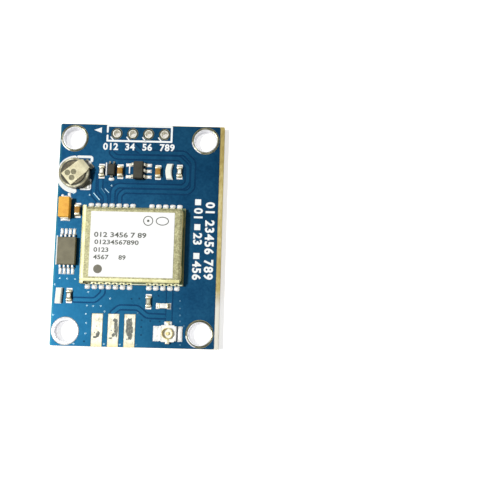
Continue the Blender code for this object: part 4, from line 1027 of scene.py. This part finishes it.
def add_fillet(bm, start, end, half, height, slot):
    """A hollow-faced wedge of solder from a terminal down to its land."""
    profile = [(start, LAND_TOP - SINK)]
    for step in range(6):
        share = step / 5
        profile.append((start + (end - start) * share,
                        LAND_TOP + SINK + height * (1 - share) ** 2.2))
    profile.append((end, LAND_TOP - SINK))
    add_prism(bm, [(x, -half, z) for x, z in profile], (0, 2 * half, 0), slot)


def add_chip(node, body, coat=None):
    """A chip part: body, wrapped end terminals, solder fillets and lands."""
    low, high = corners(node)
    centre, size = (low + high) / 2, high - low
    top, turn = high.z, 90.0 if size.y > size.x else 0.0
    half, long_half = min(size.x, size.y) / 2, CHIP_LENGTH / 2
    inner, out = long_half - CHIP_TERMINAL, long_half + CHIP_FILLET
    chip = bmesh.new()
    add_box(chip, (-inner - 0.05, -half + SINK, LAND_TOP + SINK),
            (inner + 0.05, half - SINK, top - SINK), 0, CHIP_EDGE / 2)
    if coat:
        add_box(chip, (-inner + 0.13, -half + 0.15, top - 0.06),
                (inner - 0.13, half - 0.15, top), 3, 0.02)
    for side in (-1, 1):
        start, end = outward(0, side, inner, long_half)
        add_box(chip, (start, -half, LAND_TOP), (end, half, top), 1, CHIP_EDGE)
        add_fillet(chip, side * (long_half - 0.03), side * (long_half + CHIP_FILLET * 0.55),
                   half - 0.04, (top - LAND_TOP) * 0.7, 4)
        start, end = outward(0, side, inner + 0.1, out + 0.1)
        add_box(chip, (start, -half - 0.06, POUR_LOW), (end, half + 0.06, LAND_TOP + SINK),
                2, 0.02, 1)
    place = Matrix.Translation((centre.x, centre.y, 0))
    place = place @ Matrix.Rotation(math.radians(turn), 4, "Z")
    bmesh.ops.transform(chip, matrix=place, verts=chip.verts)
    materials = [body, TERMINAL_TIN, SOLDER, coat or body, JOINT_TIN]
    new_piece(f"{node}_dressed", chip, materials, [node])


def add_chips():
    """Resistors, of which the last is greyer, capacitors and the inductor."""
    for index, coat in enumerate((RESISTOR, RESISTOR, RESISTOR, GREY_RESISTOR), 1):
        add_chip(f"resistor_{index}", RESISTOR_BASE, coat)
    for index in range(1, 4):
        add_chip(f"capacitor_{index}", CERAMIC)
    add_chip("inductor_1", INDUCTOR)


def add_lamps():
    """Clear-bodied lamps: the first is bowed, the second slants a little."""
    for node, bow, slant in (("lamp_1", 0.24, 0.0), ("lamp_2", 0.0, 0.07)):
        low, high = corners(node)
        x, y, _ = (low + high) / 2
        top = high.z
        lamp = bmesh.new()
        layers = ((LAND_TOP + SINK, -0.04, 1), (top - 0.12, 0.0, 0), (top, 0.09, 0))
        for rise, trim, slot in layers:
            left, right = [], []
            for step in range(13):
                share = step / 6 - 1
                offset = bow * share * share + slant * share
                along = y - 0.03 + (1.2 - trim) * share
                left.append((x - 0.47 + trim + offset, along))
                right.append((x + 0.45 - trim + offset, along))
            add_plate(lamp, left + right[::-1], POUR_LOW, rise, slot)
        for side in (-1, 1):
            place = y + side * 0.98
            add_box(lamp, (x - 0.2 + bow, place - 0.12, top - 0.14),
                    (x + 0.3 + bow, place + 0.12, top - 0.09), 2, 0.01)
        new_piece(f"{node}_dressed", lamp, [LAMP, SOLDER, TERMINAL_TIN], [node])


def add_socket_shell():
    """The socket's gold ring, its tinned side plates and its upper and lower lugs."""
    low, high = corners("socket_base")
    x, y, _ = (low + high) / 2
    top = corners("socket_shell")[1].z
    edge = 0.06
    shell = bmesh.new()
    ring = [(0.74, high.z - 0.02), (0.86, high.z - 0.02), (0.87, top - 0.08), (0.85, top),
            (0.79, top), (0.75, top - 0.06)]
    add_turned(shell, ring, (x, y), 0, HOLE_SEGMENTS)
    for side, outer in ((-1, low.x), (1, high.x)):
        start, end = sorted((x + side * 0.93, outer + side * 0.07))
        add_box(shell, (start, y - 1.15, LAND_TOP + 0.1), (end, y + 1.15, high.z + 0.1), 1, edge)
    add_box(shell, (x - 0.3, low.y - 0.3, LAND_TOP), (x + 0.3, y - 0.87, high.z + 0.08), 2, edge)
    add_box(shell, (x - 0.28, high.y - 0.1, LAND_TOP), (x + 0.28, high.y + 0.5, high.z - 0.12),
            2, edge)
    new_piece("socket_shell_dressed", shell, [GOLD, SOLDER, TERMINAL_TIN],
              ["socket_shell"])


# Backup cell

WELDS = [(-10.97, 9.34), (-10.02, 9.51), (-10.27, 8.54)]
WELD_PROFILE = [
    (0.01, -0.01), (0.46, -0.01), (0.44, 0.01), (0.3, 0.018), (0.1, 0.006), (0.01, 0.004)]


def add_strip(bm, path, width):
    """A bent strip of sheet: path gives its upper side as (along, height) points."""
    upper = [Vector(point) for point in path]
    lower = []
    for index, point in enumerate(upper):
        ahead = upper[min(index + 1, len(upper) - 1)] - upper[max(index - 1, 0)]
        lower.append(point - Vector((-ahead.y, ahead.x)).normalized() * TAB_SHEET)
    outline = upper + lower[::-1]
    add_prism(bm, [(x, -width / 2, z) for x, z in outline], (0, width, 0))


def add_cell_tab(name, turn, aside, width, path, shade_from):
    """A welded tab that narrows outward, painted darker as shade from where it bends."""
    cell = middle("cell_can")
    tab = bmesh.new()
    add_strip(tab, path, width)
    for vert in tab.verts:
        vert.co.y *= 1 - TAB_TAPER * min(max(vert.co.x - TAPER_FROM, 0.0), 1.0)
    for face in tab.faces:
        face.material_index = 1 if face.calc_center_median().x > shade_from else 0
    place = (Matrix.Translation((cell.x, cell.y, 0))
             @ Matrix.Rotation(math.radians(turn), 4, "Z")
             @ Matrix.Translation((0, aside, 0)))
    bmesh.ops.transform(tab, matrix=place, verts=tab.verts)
    new_piece(f"{name}_dressed", tab, [STEEL, DARK_STEEL], [name])


def add_cell_tabs():
    """The cell's two welded tabs: one over its top, one out from under it that is painted shade
    all over.
    """
    top = corners("cell_top_tab")[1].z
    foot = LAND_TOP + 0.15
    over = [(-1.6, top), (1.62, top), (1.9, top - 0.03), (2.18, top - 0.1), (2.42, top - 0.22),
            (2.52, top - 0.45), (2.56, foot + 0.12), (2.66, foot), (3.05, foot)]
    under = [(1.2, foot), (2.86, foot)]
    add_cell_tab("cell_top_tab", CELL_TOP_TURN, -0.12, 2.42, over, TAB_SHADE_FROM)
    add_cell_tab("cell_bottom_tab", CELL_BOTTOM_TURN, 0.1, 1.9, under, 0.0)


def add_weld_marks():
    """Three round weld marks on the cell's upper tab."""
    marks = bmesh.new()
    top = corners("cell_top_tab")[1].z
    for place in WELDS:
        add_turned(marks, raised(WELD_PROFILE, top), place)
    new_piece("cell_weld_marks", marks, [WELD])


# Finishes of nodes that show as they are, by name or numbered family

FINISHES = {
    "receiver_board": RECEIVER_LAMINATE, "receiver_shield": NICKEL_SILVER,
    "receiver_label": LABEL, "receiver_chip": MOULDING,
    "receiver_oscillator": STEEL, "receiver_filter": CERAMIC,
    "cell_can": CAN_STEEL_DARK_REFLECTION, "cell_cap": CAP_STEEL_DARK_REFLECTION, "cell_gasket": GASKET,
    "tantalum_body": TANTALUM, "tantalum_terminal": TIN,
    "memory_body": MEMORY, "memory_lead": SOLDER,
    "regulator_body": MOULDING, "regulator_lead": TIN,
    "transistor_body": MOULDING, "transistor_lead": DARK_STEEL,
    "socket_base": SOCKET_PLASTIC, "socket_pin": GOLD,
    # The third mounting hole's plating is painted white as a highlight
    "mounting_hole_plating_3": HIGHLIGHT_TIN, "mounting_hole_plating": HOLE_TIN,
    "header_hole_plating": HEADER_TIN, "edge_pad": PAD_TIN,
}


def dress_nodes():
    """Gives every CAD node that shows its detailed finish."""
    for name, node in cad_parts.items():
        family = name.rstrip("0123456789").rstrip("_")
        finish = FINISHES.get(name) or FINISHES.get(family)
        if finish:
            node.data.materials.clear()
            node.data.materials.append(finish)


# Floor, light and camera

WHITE = (1.0, 1.0, 1.0, 1.0)
FLOOR_HALF = 300.0
FLOOR_GLOW = 0.52
SKY = 0.34
OVERHEAD = 0.35
DOME_FROM = 0.35
DOME_TO = 0.9
KEY = 2.5
KEY_TRAVEL = Vector((0.5, 0.0, -1.0))
KEY_SOFTNESS = 7.0
CAMERA_PLACE = (19.31, -19.73, 138.11)
CAMERA_TURN = (7.4135, 0.3767, 1.4473)
CAMERA_LENS = 63.17
CAMERA_SENSOR = 36.0
CAMERA_CLIP = (0.001, 10.0)


def seen_directly(tree):
    """1 for rays from the camera, from gloss and through glass, 0 for the rest."""
    path = add_node(tree, "LightPath", {})
    total = path.outputs["Is Camera Ray"]
    for ray in ("Is Glossy Ray", "Is Transmission Ray"):
        either = add_node(tree, "Math", {0: total, 1: path.outputs[ray]})
        either.operation = "MAXIMUM"
        total = either.outputs["Value"]
    return total


def add_floor():
    """Pale floor that turns white in full light and keeps the shadow."""
    material = mottled(
        "floor", [(0.86, 0.86, 0.86), (0.88, 0.88, 0.88)], 60.0, 4.0, 0.8, relief=0.002)
    tree = material.node_tree
    glow = add_node(tree, "Math", {0: seen_directly(tree), 1: FLOOR_GLOW})
    glow.operation = "MULTIPLY"
    feed(tree, tree.nodes["Principled BSDF"], {
        "Emission Color": WHITE, "Emission Strength": glow.outputs["Value"]})
    grid = bmesh.new()
    bmesh.ops.create_grid(grid, x_segments=8, y_segments=8, size=FLOOR_HALF)
    floor = add_object("floor", grid)
    floor.data.transform(Matrix.Scale(MM, 4))
    floor.data.materials.append(material)
    floor.location.z = cad_low.z


def add_sky():
    """An even sky that is white low down and dimmer overhead."""
    world = bpy.data.worlds.new("studio")
    world.use_nodes = True
    bpy.context.scene.world = world
    tree = world.node_tree
    where = add_node(tree, "TexCoord", {}).outputs["Generated"]
    height = add_node(tree, "SeparateXYZ", {"Vector": where}).outputs["Z"]
    dome = add_node(tree, "MapRange", {
        "Value": height, "From Min": DOME_FROM, "From Max": DOME_TO, "To Min": 1.0,
        "To Max": OVERHEAD})
    strength = add_node(tree, "MapRange", {
        "Value": seen_directly(tree), "To Min": SKY, "To Max": dome.outputs["Result"]})
    feed(tree, tree.nodes["Background"], {
        "Color": WHITE, "Strength": strength.outputs["Result"]})


def add_key():
    """One soft key light from the left."""
    lamp = bpy.data.lights.new("key", "SUN")
    lamp.energy = KEY
    lamp.angle = math.radians(KEY_SOFTNESS)
    key = bpy.data.objects.new("key", lamp)
    key.rotation_mode = "QUATERNION"
    key.rotation_quaternion = KEY_TRAVEL.to_track_quat("-Z", "Y")
    bpy.context.scene.collection.objects.link(key)


def add_camera():
    """Camera almost straight above, a little to the lower right."""
    lens = bpy.data.cameras.new("camera")
    lens.lens = CAMERA_LENS
    lens.sensor_width = CAMERA_SENSOR
    lens.clip_start, lens.clip_end = CAMERA_CLIP
    camera = bpy.data.objects.new("camera", lens)
    camera.location = Vector(CAMERA_PLACE) * MM
    camera.rotation_euler = [math.radians(angle) for angle in CAMERA_TURN]
    bpy.context.scene.collection.objects.link(camera)
    bpy.context.scene.camera = camera


add_core()
add_faces()
add_pour()
add_vias()
add_linings()
add_smears()
add_board_ink()
add_label_print()
add_contacts()
add_shield_bends()
add_lead_solder()
add_joint_solder()
add_chips()
add_lamps()
add_socket_shell()
add_cell_tabs()
add_weld_marks()
dress_nodes()
add_floor()
add_sky()
add_key()
add_camera()
bpy.context.scene.view_settings.view_transform = "Standard"
